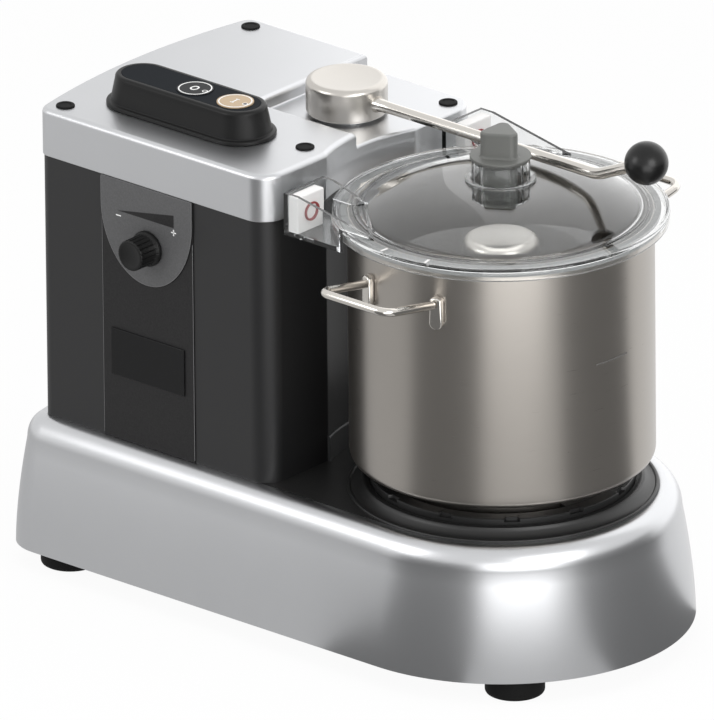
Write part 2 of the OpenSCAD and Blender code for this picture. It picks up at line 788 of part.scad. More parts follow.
module tower_cap() color(aluminium) at_axis() difference() {
    translate([0, 0, cap_z]) linear_extrude(cap_h) tower_plan(tower_in, 0, nose_r, pocket_r);
    difference() {
        translate([0, 0, cap_z - over]) linear_extrude(cap_h - cap_t + over)
            tower_plan(tower_in + cap_t, cap_t, nose_r - cap_t, pocket_r + cap_t);
        translate([0, 0, recess_z - cap_t]) linear_extrude(recess_d + cap_t) recess_plan(cap_t);
    }
    translate([0, 0, recess_z]) linear_extrude(recess_d + over) recess_plan(0);
    for (p = stud_sites) translate([p[0], p[1], p[2] - stud_stem])
        cylinder(h = stud_stem + over, r = rod_screw_r);
    translate([-pivot_x, pivot_y, recess_z - cap_t - over]) cylinder(h = cap_t + 2 * over, r = bush_r);
    translate([-(off_x + on_x) / 2, -pod_y, cap_top - cap_t - over]) linear_extrude(cap_t + 2 * over)
        stadium((off_x - on_x) / 2, switch_r + gap);
}

module cap_plugs() color(black) at_axis() for (p = stud_sites) translate(p) {
    cylinder(h = stud_h, r = stud_r);
    translate([0, 0, -stud_stem]) cylinder(h = stud_stem, r = rod_screw_r);
}

// Lever with its bush, pin, hub cap, bent rod and ball
bush_r = 16;
bush_l = 38;
boss_r = 22;
rod_in = 12;
pin_top = 4;
module at_pivot() at_axis() translate([-pivot_x, pivot_y, 0]) children();

module lever_bush() color(aluminium) at_pivot() {
    washer(boss_r, pin_r + run_fit, recess_z, boss_h);
    washer(bush_r, pin_r + run_fit, recess_z - bush_l, bush_l);
}

module lever_pin() color(steel) at_pivot() translate([0, 0, hub_z + hub_h - pin_top - pin_l])
    cylinder(h = pin_l, r = pin_r);

module lever_hub() color(steel) at_pivot() difference() {
    translate([0, 0, hub_z]) rotate_extrude() polygon(concat(
        [[0, 0], [hub_r, 0]],
        [for (t = [0:15:90]) [hub_r - hub_edge * (1 - cos(t)), hub_h - hub_edge * (1 - sin(t))]],
        [[0, hub_h]]
    ));
    translate([0, 0, hub_z - over]) cylinder(h = hub_h - pin_top + over, r = pin_r);
    translate([rod_in, 0, lever_axis_z]) rotate([0, 90, 0]) cylinder(h = hub_r, r = lever_r);
}

module lever_arm() color(steel) at_axis() translate([0, pivot_y, lever_axis_z]) {
    start = rod_in - pivot_x;
    translate([start, 0, 0]) rotate([0, 90, 0]) cylinder(h = knee_x - start, r = lever_r);
    translate([knee_x, 0, 0]) sphere(r = lever_r + swell);
    translate([knee_x, 0, 0]) rotate([0, 90 - knee_deg, 0]) cylinder(h = tip_l - ball_r / 3, r = lever_r);
}

module lever_ball() color(black) at_axis() translate([knee_x, pivot_y, lever_axis_z])
    rotate([0, 90 - knee_deg, 0]) difference() {
        translate([0, 0, tip_l]) sphere(r = ball_r);
        cylinder(h = tip_l - ball_r / 3, r = lever_r);
    }

// Button pod on the cap
switch_r = 9;
switch_h = 12;
stem_r = 3;
inlay_t = 2;
button_h = 5;
button_up = 0.5;
stem_z = 1;
led_r = 1.2;
module stadium(half_l, r) {
    translate([-half_l, -r]) square([2 * half_l, 2 * r]);
    for (s = [-1, 1]) translate([s * half_l, 0]) circle(r);
}
pod_half = pod_l / 2;
module at_pod() at_axis() translate([-pod_x, -pod_y, cap_top]) children();

module button_pod() color(black) at_pod() difference() {
    union() {
        linear_extrude(pod_flange) stadium(pod_half, pod_r);
        hull() for (s = [-1, 1]) translate([s * pod_half, 0, pod_flange])
            cylinder(h = pod_h - pod_flange, r1 = (pod_r + pod_top_r) / 2, r2 = pod_top_r, $fn = 48);
    }
    translate([0, 0, pod_h - inlay_t]) linear_extrude(inlay_t + over) stadium(pod_half, inlay_r);
    for (x = [off_x, on_x]) translate([pod_x - x, 0, -over]) cylinder(h = pod_h, r = button_r + gap);
}

module pod_inlay() color([0.12, 0.13, 0.15]) at_pod() translate([0, 0, pod_h - inlay_t])
    difference() {
        linear_extrude(inlay_t) stadium(pod_half, inlay_r);
        for (x = [off_x, on_x]) translate([pod_x - x, 0, -over])
            cylinder(h = inlay_t + 2 * over, r = button_r + gap);
    }

module pod_switches() color(grey) at_pod() for (x = [off_x, on_x]) translate([pod_x - x, 0, 0])
    difference() {
        union() {
            translate([0, 0, -cap_t]) cylinder(h = switch_h, r = switch_r);
            cylinder(h = switch_h - cap_t, r = button_r + gap);
        }
        translate([0, 0, -cap_t + over]) cylinder(h = switch_h, r = stem_r + gap);
    }

module button(x, paint) color(paint) at_pod() translate([pod_x - x, 0, 0]) {
    translate([0, 0, pod_h + button_up - button_h]) cylinder(h = button_h, r = button_r);
    translate([0, 0, stem_z]) cylinder(h = pod_h - button_h - stem_z + button_up, r = stem_r);
}
module button_off() button(off_x, [0.13, 0.14, 0.15]);
module button_on() button(on_x, tan);

// Controls on the near side
knob_off = 2;
knob_x = strip_x + strip_w / 2 - knob_off;
pot_neck_r = 5;
pot_r = 12;
pot_l = 14;
knob_shaft_r = 3;
panel_t = 1;
mark_t = 0.3;
module at_side() at_axis() translate([-strip_x - strip_w / 2, -side_y, deck_z]) rotate([90, 0, 0]) children();

module control_strip() color([0.18, 0.18, 0.18]) at_side() difference() {
    translate([-strip_w / 2, 0, 0]) cube([strip_w, body_h, strip_t]);
    translate([strip_x + strip_w / 2 - knob_x, knob_z, -over]) cylinder(h = strip_t + 2 * over, r = pot_neck_r + gap);
}

dial_straight = 18;
module dial_panel() color([0.40, 0.40, 0.40]) at_side() translate([0, 0, strip_t]) difference() {
    linear_extrude(panel_t) union() {
        translate([-strip_w / 2, body_h - dial_straight]) square([strip_w, dial_straight]);
        intersection() {
            translate([-strip_w / 2, body_h - dial_h]) square([strip_w, dial_h - dial_straight]);
            translate([0, body_h - dial_straight]) scale([1, dial_scale, 1]) circle(strip_w / 2);
        }
    }
    translate([strip_x + strip_w / 2 - knob_x, knob_z, -over])
        cylinder(h = panel_t + 2 * over, r = pot_neck_r + gap);
}
dial_scale = (dial_h - dial_straight) / (strip_w / 2);

// Wedge that shows slow to fast, with a bar at its thin end and a cross at its thick end
wedge_l = 50;
wedge_h = 9;
wedge_drop = 22.5;
wedge_z = body_h - wedge_drop;
bar_l = 4;
bar_w = 0.8;
sign_drop = 3.5;
module dial_marks() color([0.9, 0.9, 0.9]) at_side() translate([0, wedge_z, strip_t + panel_t])
    linear_extrude(mark_t) {
        polygon([[-wedge_l / 2, 0], [wedge_l / 2, 0], [wedge_l / 2, wedge_h]]);
        for (s = [-1, 1]) translate([s * wedge_l / 2, -sign_drop]) square([bar_l, bar_w], center = true);
        translate([wedge_l / 2, -sign_drop]) square([bar_w, bar_l], center = true);
    }

module name_plate() color([0.08, 0.08, 0.09]) at_side() translate([-name_w / 2, name_z, strip_t])
    cube([name_w, name_h, panel_t]);

module at_knob() at_axis() translate([-knob_x, -side_y, deck_z + knob_z]) rotate([90, 0, 0]) children();

module speed_pot() color(grey) at_knob() difference() {
    union() {
        translate([0, 0, -shell_t - pot_l]) cylinder(h = pot_l, r = pot_r);
        translate([0, 0, -shell_t]) cylinder(h = shell_t + strip_t + panel_t, r = pot_neck_r);
    }
    translate([0, 0, -shell_t - pot_l / 2]) cylinder(h = pot_l + shell_t, r = knob_shaft_r + run_fit);
}

knob_base = strip_t + panel_t + gap;
knob_skirt_h = 5;
flute_r = 0.9;
module speed_knob() color(black) at_knob() {
    translate([0, 0, -shell_t - pot_l / 2 + gap]) cylinder(h = pot_l / 2 + shell_t + knob_base, r = knob_shaft_r);
    translate([0, 0, knob_base]) cylinder(h = knob_skirt_h, r = knob_skirt_r);
    translate([0, 0, knob_base + knob_skirt_h]) difference() {
        cylinder(h = knob_l - knob_skirt_h, r = knob_r);
        for (i = [0:flute_n - 1]) rotate([0, 0, i * 360 / flute_n]) translate([knob_r, 0, 0])
            cylinder(h = knob_l, r = flute_r);
    }
}

// Board that feeds the motor, on the tower's far wall
board_t = 1.6;
board_l = 90;
board_h = 110;
board_z = 40;
standoff_l = 6;
standoff_r = 3;
relay_w = 22;
module power_board() color([0.10, 0.30, 0.18]) at_axis()
    translate([-motor_x - board_l / 2, side_y - shell_t, deck_z + board_z]) rotate([90, 0, 0]) {
        for (x = [board_l / 8, board_l * 7 / 8], y = [board_h / 8, board_h * 7 / 8])
            translate([x, y, 0]) cylinder(h = standoff_l, r = standoff_r);
        translate([0, 0, standoff_l]) cube([board_l, board_h, board_t]);
        translate([board_l / 3, board_h / 3, standoff_l + board_t]) cube([relay_w, relay_w, relay_w]);
    }

// Blade hub and blades
sleeve_in_r = sleeve_r - sleeve_t;
cross_r = 2.5;
cross_drop = 10;
module blade_hub() color(steel) at_axis() difference() {
    rotate_extrude() polygon(concat(
        [[0, sleeve_z], [sleeve_r, sleeve_z], [sleeve_r, head_top - head_h]],
        [for (t = [0:10:90]) [head_r * cos(t), head_top - head_h / 2 * (1 - sin(t))]]
    ));
    translate([0, 0, sleeve_z - over]) cylinder(h = tube_top + tube_gap - sleeve_z, r = sleeve_in_r);
    translate([0, 0, sleeve_z]) cylinder(h = shaft_top - sleeve_z, r = shaft_r);
    translate([0, -head_r - over, head_top - cross_drop]) rotate([-90, 0, 0])
        cylinder(h = head_r - shaft_r, r = cross_r);
}

blade_steps = 12;
blade_root_w = 15;
blade_tip_w = 4;
collar_w = 6;
blade_collar_h = 10;
function blade_edge(side) = [for (i = [0:blade_steps])
    let (f = i / blade_steps, r = sleeve_r + (blade_r - sleeve_r) * f,
         a = -blade_deg * pow(f, lean_power),
         w = side * (blade_root_w * (1 - f) + blade_tip_w * f) / 2)
    [r * cos(a) - w * sin(a), r * sin(a) + w * cos(a)]];
function flip(list) = [for (i = [len(list) - 1:-1:0]) list[i]];
module blades(z, turn) color(steel) at_axis() translate([0, 0, z]) rotate([0, 0, turn]) {
    washer(sleeve_r + collar_w, sleeve_r, 0, blade_collar_h);
    for (a = [0, 180]) rotate([0, 0, a]) intersection() {
        linear_extrude(blade_t) polygon(concat(blade_edge(1), flip(blade_edge(-1))));
        washer(blade_r, sleeve_r + collar_w / 2, 0, blade_t);
    }
}
blade_turn = 20;
module blade_lower() blades(floor_z + blade_low, blade_turn);
module blade_upper() blades(floor_z + blade_low + blade_pitch, blade_turn + 90);

// Bowl: pressed shell with its centre tube, bayonet ring, handles and level line
rim_r = 1.2;
module bowl_shell() color(steel) at_axis() {
    rotate_extrude() polygon(concat(
        [[tube_r - tube_t, bowl_z]],
        [for (t = [-90:10:0]) [bowl_r - bowl_edge_r + bowl_edge_r * cos(t), bowl_z + bowl_edge_r * (1 + sin(t))]],
        [[bowl_r, rim_z - rim_r], [bowl_r - bowl_wall / 2, rim_z], [bowl_r - bowl_wall, rim_z - rim_r]],
        [for (t = [0:-10:-90]) [bowl_r - bowl_edge_r + (bowl_edge_r - bowl_wall) * cos(t),
            bowl_z + bowl_edge_r + (bowl_edge_r - bowl_wall) * sin(t)]],
        [[tube_r, floor_z], [tube_r, tube_top], [tube_r - tube_t, tube_top]]
    ));
}

module bowl_ring() color(steel) at_axis() {
    washer(ring_r, ring_r - ring_t, ring_z, bowl_z - ring_z);
    for (i = [0:hook_n - 1]) rotate([0, 0, i * 360 / hook_n - lug_deg / 2])
        translate([0, 0, ring_z]) rotate_extrude(angle = lug_deg) translate([ring_r - ring_t / 2, 0])
            square([lug_r - ring_r + ring_t / 2, collar_h - hook_t - seat_floor - 2 * gap]);
}

swell = 0.3;
leg_y = sqrt(pow(bowl_r + weld_t + rod_r + swell, 2) - pow(arm_x, 2));
root_y = leg_y + bend_r * (1 - sin(arm_tilt));
root_z = rim_z - arm_drop;
leg_z = root_z - bend_r * cos(arm_tilt);
module handle() {
    translate([0, root_y, root_z]) rotate([arm_tilt, 0, 0]) {
        for (s = [-1, 1]) {
            translate([s * arm_x, 0, 0]) rotate([-90, 0, 0]) cylinder(h = arm_l - grip_r, r = rod_r);
            translate([s * (arm_x - grip_r), arm_l - grip_r, 0]) rotate([0, 0, 45 - s * 45])
                rotate_extrude(angle = 90) translate([grip_r, 0]) circle(rod_r);
            translate([s * arm_x, 0, -bend_r]) rotate([90, 0, 90]) rotate([0, 0, 90])
                rotate_extrude(angle = 90 - arm_tilt) translate([bend_r, 0]) circle(rod_r);
        }
        translate([grip_r - arm_x, arm_l, 0]) rotate([0, 90, 0])
            cylinder(h = 2 * (arm_x - grip_r), r = rod_r);
    }
    for (s = [-1, 1]) translate([s * arm_x, leg_y, leg_z]) {
        translate([0, 0, -leg_l]) cylinder(h = leg_l, r = rod_r);
        sphere(r = rod_r + swell);
    }
}
module handle_near() color(steel) at_axis() rotate([0, 0, 180]) handle();
module handle_far() color(steel) at_axis() handle();

module weld_plates() color(steel) at_axis() intersection() {
    washer(bowl_r + weld_t, bowl_r, 0, rim_z);
    for (x = [-arm_x, arm_x]) translate([x, 0, root_z]) rotate([90, 0, 0])
        translate([0, 0, -base_w / 2]) linear_extrude(base_w) {
            circle(weld_w / 2);
            translate([0, -weld_h + weld_w]) circle(weld_w / 2);
            translate([-weld_w / 2, -weld_h + weld_w]) square([weld_w, weld_h - weld_w]);
        }
}

level_t = 0.3;
level_w = 0.8;
level_turn = -3;
module level_line() color(grey) at_axis() {
    half = level_l / bowl_r / 2 * 180 / PI;
    translate([0, 0, bowl_z + level_z]) rotate([0, 0, level_turn - half])
        rotate_extrude(angle = 2 * half) translate([bowl_r, 0]) square([level_t, level_w]);
}

// Clear lid with its chimney, seal, ears and magnets
function dome_height(r) = dome_top - dome_ball_r
    + sqrt(pow(dome_ball_r, 2) - pow(r - chimney_ring_r, 2));
function dome_line(drop) = [for (i = [0:dome_steps])
    let (r = dome_r + (chimney_r - dome_r) * i / dome_steps)
    [r, dome_height(max(r, chimney_ring_r)) - drop]];
module lid_shell() color(clear) at_axis() rotate_extrude() polygon(concat(
    [[dome_r - dome_t, flange_z], [lid_r - lid_t, flange_z], [lid_r - lid_t, skirt_z],
     [lid_r, skirt_z], [lid_r, dome_z]],
    dome_line(0), [for (p = flip(dome_line(dome_t))) if (p[0] < dome_r - dome_t) p]
));

chimney_foot_t = 2;
module lid_chimney() color(clear) at_axis() difference() {
    union() {
        translate([0, 0, dome_top - chimney_drop])
            cylinder(h = chimney_drop + chimney_h, r = chimney_r, $fn = chimney_n);
        translate([0, 0, dome_top]) cylinder(h = chimney_foot_t, r = chimney_ring_r);
    }
    translate([0, 0, dome_top - chimney_drop - over])
        cylinder(h = chimney_drop + chimney_h + 2 * over, r = chimney_in_r);
}

seal_w = 4;
seal_h = 4;
module lid_seal() color(grey) at_axis() washer(bowl_r + gap + seal_w, bowl_r + gap, flange_z - seal_h, seal_h);

// Plan of an ear on the far side, and of the space inside its walls
ear_back = bowl_r + ear_over;
ear_out = bowl_r - ear_side;
ear_in = ear_out - ear_w;
ear_tip = sqrt(pow(lid_r, 2) - pow(ear_out, 2)) - over;
ear_nose = ear_out - ear_tip_w;
slope_from = ear_tip + slope_l;
ear_z = ear_top - ear_h;
module ear_plan() polygon([
    [-ear_back, ear_in], [-ear_back, ear_out], [-ear_tip, ear_out], [-ear_tip, ear_nose]
]);
module ear_inside() polygon([
    [ear_t - ear_back, ear_in + 2 * ear_t], [ear_t - ear_back, ear_out - ear_t],
    [over - ear_tip, ear_out - ear_t], [over - ear_tip, ear_nose + ear_t]
]);
module ear() difference() {
    union() {
        translate([0, 0, ear_z]) linear_extrude(ear_t) ear_plan();
        translate([0, 0, ear_z]) linear_extrude(ear_h) difference() {
            ear_plan();
            ear_inside();
        }
        gusset_end = acos(-(ear_tip + 2 * ear_t) / lid_r);
        gusset_start = acos(-slope_to / lid_r);
        rotate([0, 0, gusset_start]) rotate_extrude(angle = gusset_end - gusset_start)
            translate([lid_r - ear_t, dome_z]) square([ear_t, ear_top - dome_z]);
    }
    translate([0, 0, ear_z - over]) cylinder(h = dome_z - ear_z + over, r = lid_r);
    translate([0, 0, dome_z - over]) cylinder(h = ear_h, r = dome_r + gap);
    translate([0, ear_out + over, 0]) rotate([90, 0, 0]) linear_extrude(ear_out) polygon([
        [-slope_from, ear_top], [-slope_to, dome_z], [slope_to, dome_z],
        [slope_to, ear_top + over], [-slope_from, ear_top + over]
    ]);
}
module ear_near() color(clear) at_axis() mirror([0, 1, 0]) ear();
module ear_far() color(clear) at_axis() ear();

magnet_t = 9;
module ear_magnets() color([0.9, 0.9, 0.9]) at_axis() for (s = [0, 1]) mirror([0, s, 0])
    translate([ear_t - ear_back, ear_out - ear_t - magnet_w, ear_z + ear_t]) cube([magnet_t, magnet_w, magnet_h]);

// Plug that closes the chimney, with a three-sided grip
module feed_plug() color(grey) at_axis() translate([0, 0, chimney_top]) {
    translate([0, 0, -plug_stem]) cylinder(h = plug_stem, r = chimney_in_r - gap);
    cylinder(h = plug_t, r = plug_r);
    translate([0, 0, plug_t]) linear_extrude(grip_h) polygon([for (i = [0:2], t = [-60:12:60])
        [grip_out * cos(120 * i) + grip_corner * cos(120 * i + t),
         grip_out * sin(120 * i) + grip_corner * sin(120 * i + t)]]);
}

base_shell();
base_plate();
foot(0);  // foot_front_near
foot(1);  // foot_front_far
foot(2);  // foot_rear_near
foot(3);  // foot_rear_far
foot_screws();
top_plate();
bowl_seat();
spindle_housing();
spindle_bearings();
drive_belt();
motor_plate();
motor_housing();
motor_stator();
tie_rods();
tower_shell();
tower_cap();
cap_plugs();
lever_bush();
button_pod();
pod_inlay();
pod_switches();
control_strip();
dial_panel();
dial_marks();
name_plate();
speed_pot();
power_board();
cord_gland();
rotor_shaft();
rotor_core();
cooling_fan();
drive_pulley();
spindle_shaft();
driven_pulley();
blade_hub();
blade_lower();
blade_upper();
bowl_shell();
bowl_ring();
handle_near();
handle_far();
weld_plates();
level_line();
lid_shell();
lid_chimney();
lid_seal();
ear_near();
ear_far();
ear_magnets();
feed_plug();
lever_hub();
lever_pin();
lever_arm();
lever_ball();
speed_knob();
button_off();
button_on();
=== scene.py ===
# %% [markdown]
# A vertical cutter mixer: a bench machine with a ground aluminium base, a black tower
# with an aluminium cap, a steel bowl under a clear lid, and a lever that holds the lid.
# Every size is in millimetres, measured from the bowl's axis on the bench. The packed
# model gives the places, and this script adds smooth forms and real finishes to it.

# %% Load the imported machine
import math

import bmesh
import bpy
import numpy as np
from mathutils import Matrix, Vector


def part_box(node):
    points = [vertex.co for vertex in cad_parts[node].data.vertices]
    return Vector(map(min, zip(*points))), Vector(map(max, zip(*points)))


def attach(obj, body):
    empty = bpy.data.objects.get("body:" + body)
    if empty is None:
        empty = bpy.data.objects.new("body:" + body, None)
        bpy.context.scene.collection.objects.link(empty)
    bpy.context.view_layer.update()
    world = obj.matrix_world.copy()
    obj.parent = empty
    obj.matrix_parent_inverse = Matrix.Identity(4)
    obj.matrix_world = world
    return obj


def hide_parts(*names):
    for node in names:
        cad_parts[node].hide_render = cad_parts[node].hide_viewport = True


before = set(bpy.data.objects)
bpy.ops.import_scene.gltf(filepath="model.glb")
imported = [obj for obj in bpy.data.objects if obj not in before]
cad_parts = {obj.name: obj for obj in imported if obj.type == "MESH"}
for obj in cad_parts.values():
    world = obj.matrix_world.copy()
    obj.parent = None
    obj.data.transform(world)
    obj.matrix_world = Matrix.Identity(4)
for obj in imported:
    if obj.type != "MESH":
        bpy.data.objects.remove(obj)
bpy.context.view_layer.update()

MM = 0.001
scene = bpy.context.scene


def add_object(name, data):
    """A new object with its mesh, lamp or camera, linked to the scene."""
    made = bpy.data.objects.new(name, data)
    scene.collection.objects.link(made)
    return made


# %% [markdown]
# The frame tells where each node is. Half of the work of fitting a new surface is to
# read these corners instead of typing them, so one helper gives them in millimetres
# about the bowl's axis.

# %% Places read from the frame
low, high = (np.array(corner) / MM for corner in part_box("bowl_shell"))
AXIS = np.array([(low[0] + high[0]) / 2, (low[1] + high[1]) / 2, 0])


def corners(node):
    """Lowest and highest corner of a node, in millimetres about the bowl's axis."""
    return [np.array(corner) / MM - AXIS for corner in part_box(node)]


def middle(node):
    """Centre of a node's box."""
    return sum(corners(node)) / 2


def heights(node):
    """Lowest and highest z of a node."""
    return [corner[2] for corner in corners(node)]


base_low, base_high = corners("base_shell")
cap_low, cap_high = corners("tower_cap")
bowl_low, bowl_high = corners("bowl_shell")
lid_low, lid_high = corners("lid_shell")
FOOT_Z, DECK_Z, BASE_R = base_low[2], base_high[2], base_high[1]
CAP_Z, CAP_TOP = cap_low[2], cap_high[2]
BOWL_R, BOWL_Z, RIM_Z = bowl_high[0], bowl_low[2], bowl_high[2]
LID_R = lid_high[0]
print("base", base_low, base_high, "bowl radius", BOWL_R, "rim", RIM_Z)

# %% [markdown]
# The camera stands far off with a long lens, because the picture shows hardly any
# perspective: edges that are parallel on the machine stay parallel. Its direction is
# given by the way round the machine and the height over the bench, and one point of
# the machine is pinned to the place in the picture where it is seen.

# %% Camera
AZIMUTH, ELEVATION, ROLL = 41.47, 22.27, 0.54
PICTURE = np.array([714, 720])
PIXELS_PER_MM = 1.473
PIN_PIXEL = np.array([503.9, 609.7])
LENS, SENSOR = 1600, 36
NEAR_M, FAR_M = 1, 60


def place_camera():
    """Puts the pinned point at its pixel: the camera goes back along its view by focal
    length over scale, and sideways by the pixel's offset over the same scale."""
    a, e, roll = (math.radians(v) for v in (AZIMUTH, ELEVATION, ROLL))
    back = Vector((math.sin(a) * math.cos(e), -math.cos(a) * math.cos(e), math.sin(e)))
    right = Vector((math.cos(a), math.sin(a), 0))
    up = back.cross(right)
    right, up = right * math.cos(roll) - up * math.sin(roll), up * math.cos(roll) + right * math.sin(roll)
    distance = LENS / SENSOR * PICTURE.max() / PIXELS_PER_MM
    offset = (PIN_PIXEL - PICTURE / 2) / PIXELS_PER_MM
    pin = Vector(AXIS + [0, 0, FOOT_Z])
    camera = add_object("camera", bpy.data.cameras.new("camera"))
    camera.data.lens, camera.data.sensor_width = LENS, SENSOR
    camera.data.clip_start, camera.data.clip_end = NEAR_M, FAR_M
    spot = (pin + back * distance - right * offset[0] + up * offset[1]) * MM
    camera.matrix_world = Matrix.Translation(spot) @ Matrix((right, up, back)).transposed().to_4x4()
    return camera


bpy.context.scene.camera = place_camera()
print("camera", bpy.context.scene.camera.location)

# %% [markdown]
# Colours are written as on a paint card, in sRGB hex. Blender works with linear light,
# so one function turns them over.


# %% Colour
def paint(code):
    """sRGB hex to linear: each channel c becomes c/12.92 or ((c+0.055)/1.055)^2.4."""
    c = np.array([int(code[i:i + 2], 16) for i in (1, 3, 5)]) / 255
    return (*np.where(c <= 0.04045, c / 12.92, ((c + 0.055) / 1.055) ** 2.4), 1.0)


# %% [markdown]
# The studio is a pale floor, a pale sky and three soft lamps. The camera and the
# mirrors see plain white where there is no machine; the light that falls on the
# machine comes from the lamps and a dimmer sky, so that a colour stays as written.


# %% One helper that adds a node
def add_node(tree, kind, inputs=None, **settings):
    """Adds a node, sets its properties and fills its inputs with values or links. A node
    among the inputs is linked from its first output."""
    node = tree.nodes.new(kind)
    for key, value in settings.items():
        setattr(node, key, value)
    for key, value in (inputs or {}).items():
        if isinstance(value, bpy.types.Node):
            value = value.outputs[0]
        if isinstance(value, bpy.types.NodeSocket):
            tree.links.new(value, node.inputs[key])
        else:
            node.inputs[key].default_value = value
    return node


def seen_directly(tree):
    """1 for rays from the camera, off a mirror or through glass, and 0 for the rest."""
    rays = add_node(tree, "ShaderNodeLightPath").outputs
    share = rays["Is Camera Ray"]
    for ray in ("Is Glossy Ray", "Is Transmission Ray"):
        share = add_node(tree, "ShaderNodeMath", {0: share, 1: rays[ray]}, operation="MAXIMUM")
    return share


# %% Sky
SKY_LIGHT = 0.55
scene.view_settings.view_transform = "Standard"
world = bpy.data.worlds.new("studio sky")
scene.world = world
world.use_nodes = True
sky = world.node_tree
sky.nodes.clear()
dim, white = (add_node(sky, "ShaderNodeBackground", {"Color": paint("#FFFFFF"), "Strength": light})
              for light in (SKY_LIGHT, 1.0))
either = add_node(sky, "ShaderNodeMixShader", {0: seen_directly(sky), 1: dim, 2: white})
add_node(sky, "ShaderNodeOutputWorld", {0: either})

# %% Lamps
AIM_M = Vector((0, 0, 0.2))


def soft_lamp(name, spot, size, power):
    """A square lamp that faces the middle of the machine; places in metres."""
    lamp = add_object(name, bpy.data.lights.new(name, "AREA"))
    lamp.data.size, lamp.data.energy = size, power
    lamp.location = spot
    lamp.rotation_euler = (AIM_M - Vector(spot)).to_track_quat("-Z", "Y").to_euler()
    lamp.visible_camera = False
    return lamp


soft_lamp("lamp over", (0.1, 0.1, 1.9), 2.0, 18).visible_glossy = False
soft_lamp("lamp right", (1.7, -0.5, 0.9), 1.0, 12)
soft_lamp("lamp left", (-0.9, -1.9, 1.2), 1.0, 10)

# %% Studio pieces
FLOOR_M, FLOOR_SIDES, OWN_LIGHT = 12, 96, 0.94


def studio_piece(name, finish_name, fill_tree, points, faces):
    """A mesh in metres that is no part of the machine. Its material's nodes are emptied
    and then made by fill_tree."""
    material = bpy.data.materials.new(finish_name)
    material.use_nodes = True
    material.node_tree.nodes.clear()
    fill_tree(material.node_tree)
    mesh = bpy.data.meshes.new(name)
    mesh.from_pydata(points.reshape(-1, 3).tolist(), [], faces)
    mesh.materials.append(material)
    piece = add_object(name, mesh)
    return piece


def floor_light(tree):
    """The floor's light is mostly its own, so that it stays pale and takes a soft shadow."""
    lit = add_node(tree, "ShaderNodeBsdfDiffuse", {"Color": paint("#F4F4F4")})
    own = add_node(tree, "ShaderNodeEmission", {"Color": paint("#FFFFFF"), "Strength": 1.0})
    share = add_node(tree, "ShaderNodeMath", {0: seen_directly(tree), 1: OWN_LIGHT}, operation="MULTIPLY")
    either = add_node(tree, "ShaderNodeMixShader", {0: share, 1: lit, 2: own})
    add_node(tree, "ShaderNodeOutputMaterial", {0: either})


around = np.linspace(0, 2 * np.pi, FLOOR_SIDES, endpoint=False)
studio_piece("floor", "pale painted floor", floor_light,
             FLOOR_M * np.stack([np.cos(around), np.sin(around), 0 * around], -1), [list(range(FLOOR_SIDES))])

# %% [markdown]
# Bare metal shows its surroundings, so a room that is white all round makes it look
# flat. A photographer stands dark and bright cards around the set. These cards lie and
# stand around the bench and are seen only in reflections, never by the camera.

# %% Reflection cards
CAMERA_TURN = AZIMUTH - 90
CARD_LIFT, CARD_POINTS = 0.0006, 33


def grid_faces(rows, columns, close_rows, close_columns):
    """Corner numbers of the faces: (i, j), (i, j+1), (i+1, j+1), (i+1, j)."""
    i, j = np.meshgrid(np.arange(rows - (not close_rows)), np.arange(columns - (not close_columns)),
                       indexing="ij")
    k, l = (i + 1) % rows, (j + 1) % columns
    return np.stack([i * columns + j, i * columns + l, k * columns + l, k * columns + j], -1).reshape(-1, 4)


def card(name, start, end, level, near, far, height=0.0, strength=1.0):
    """A sector of the floor from near to far (metres) and, if height is given, an upright
    strip at its far edge. Angles in degrees to the right of the camera, about the bowl."""
    def glow(tree):
        light = add_node(tree, "ShaderNodeEmission", {"Color": paint(level), "Strength": strength})
        add_node(tree, "ShaderNodeOutputMaterial", {0: light})

    a = np.radians(np.linspace(start, end, CARD_POINTS) + CAMERA_TURN)
    rows = [(near, CARD_LIFT), (far, CARD_LIFT)] + [(far, height)] * (height > 0)
    grid = np.stack([np.stack([r * np.cos(a) + AXIS[0] * MM, r * np.sin(a), 0 * a + z], -1) for r, z in rows])
    piece = studio_piece(name, name, glow, grid, grid_faces(len(rows), CARD_POINTS, False, False).tolist())
    piece.visible_camera = piece.visible_diffuse = piece.visible_shadow = False
    piece.visible_transmission = piece.visible_volume_scatter = False


card("card left", -66, -15, "#7C7C7C", 0.1, 1.5, 0.35)
card("card right", 41, 102, "#787878", 0.1, 1.5, 0.35)
card("card side", -180, -66, "#D2D2D2", 0.1, 1.6)
card("card front", -15, 41, "#CACACA", 0.1, 0.9)
card("card bright", -12, 30, "#FFFFFF", 0.9, 1.3, 0.5, 3.0)
card("card behind", 108, 186, "#FFFFFF", 1.2, 1.25, 2.2, 1.6)

# %% [markdown]
# Most finishes here are one recipe with other numbers: a base colour that clouds a
# little, a gloss that varies with it, and a fine relief. A stretched relief gives the
# lines of a brush. The sizes of cloud and grain are real millimetres on the piece.


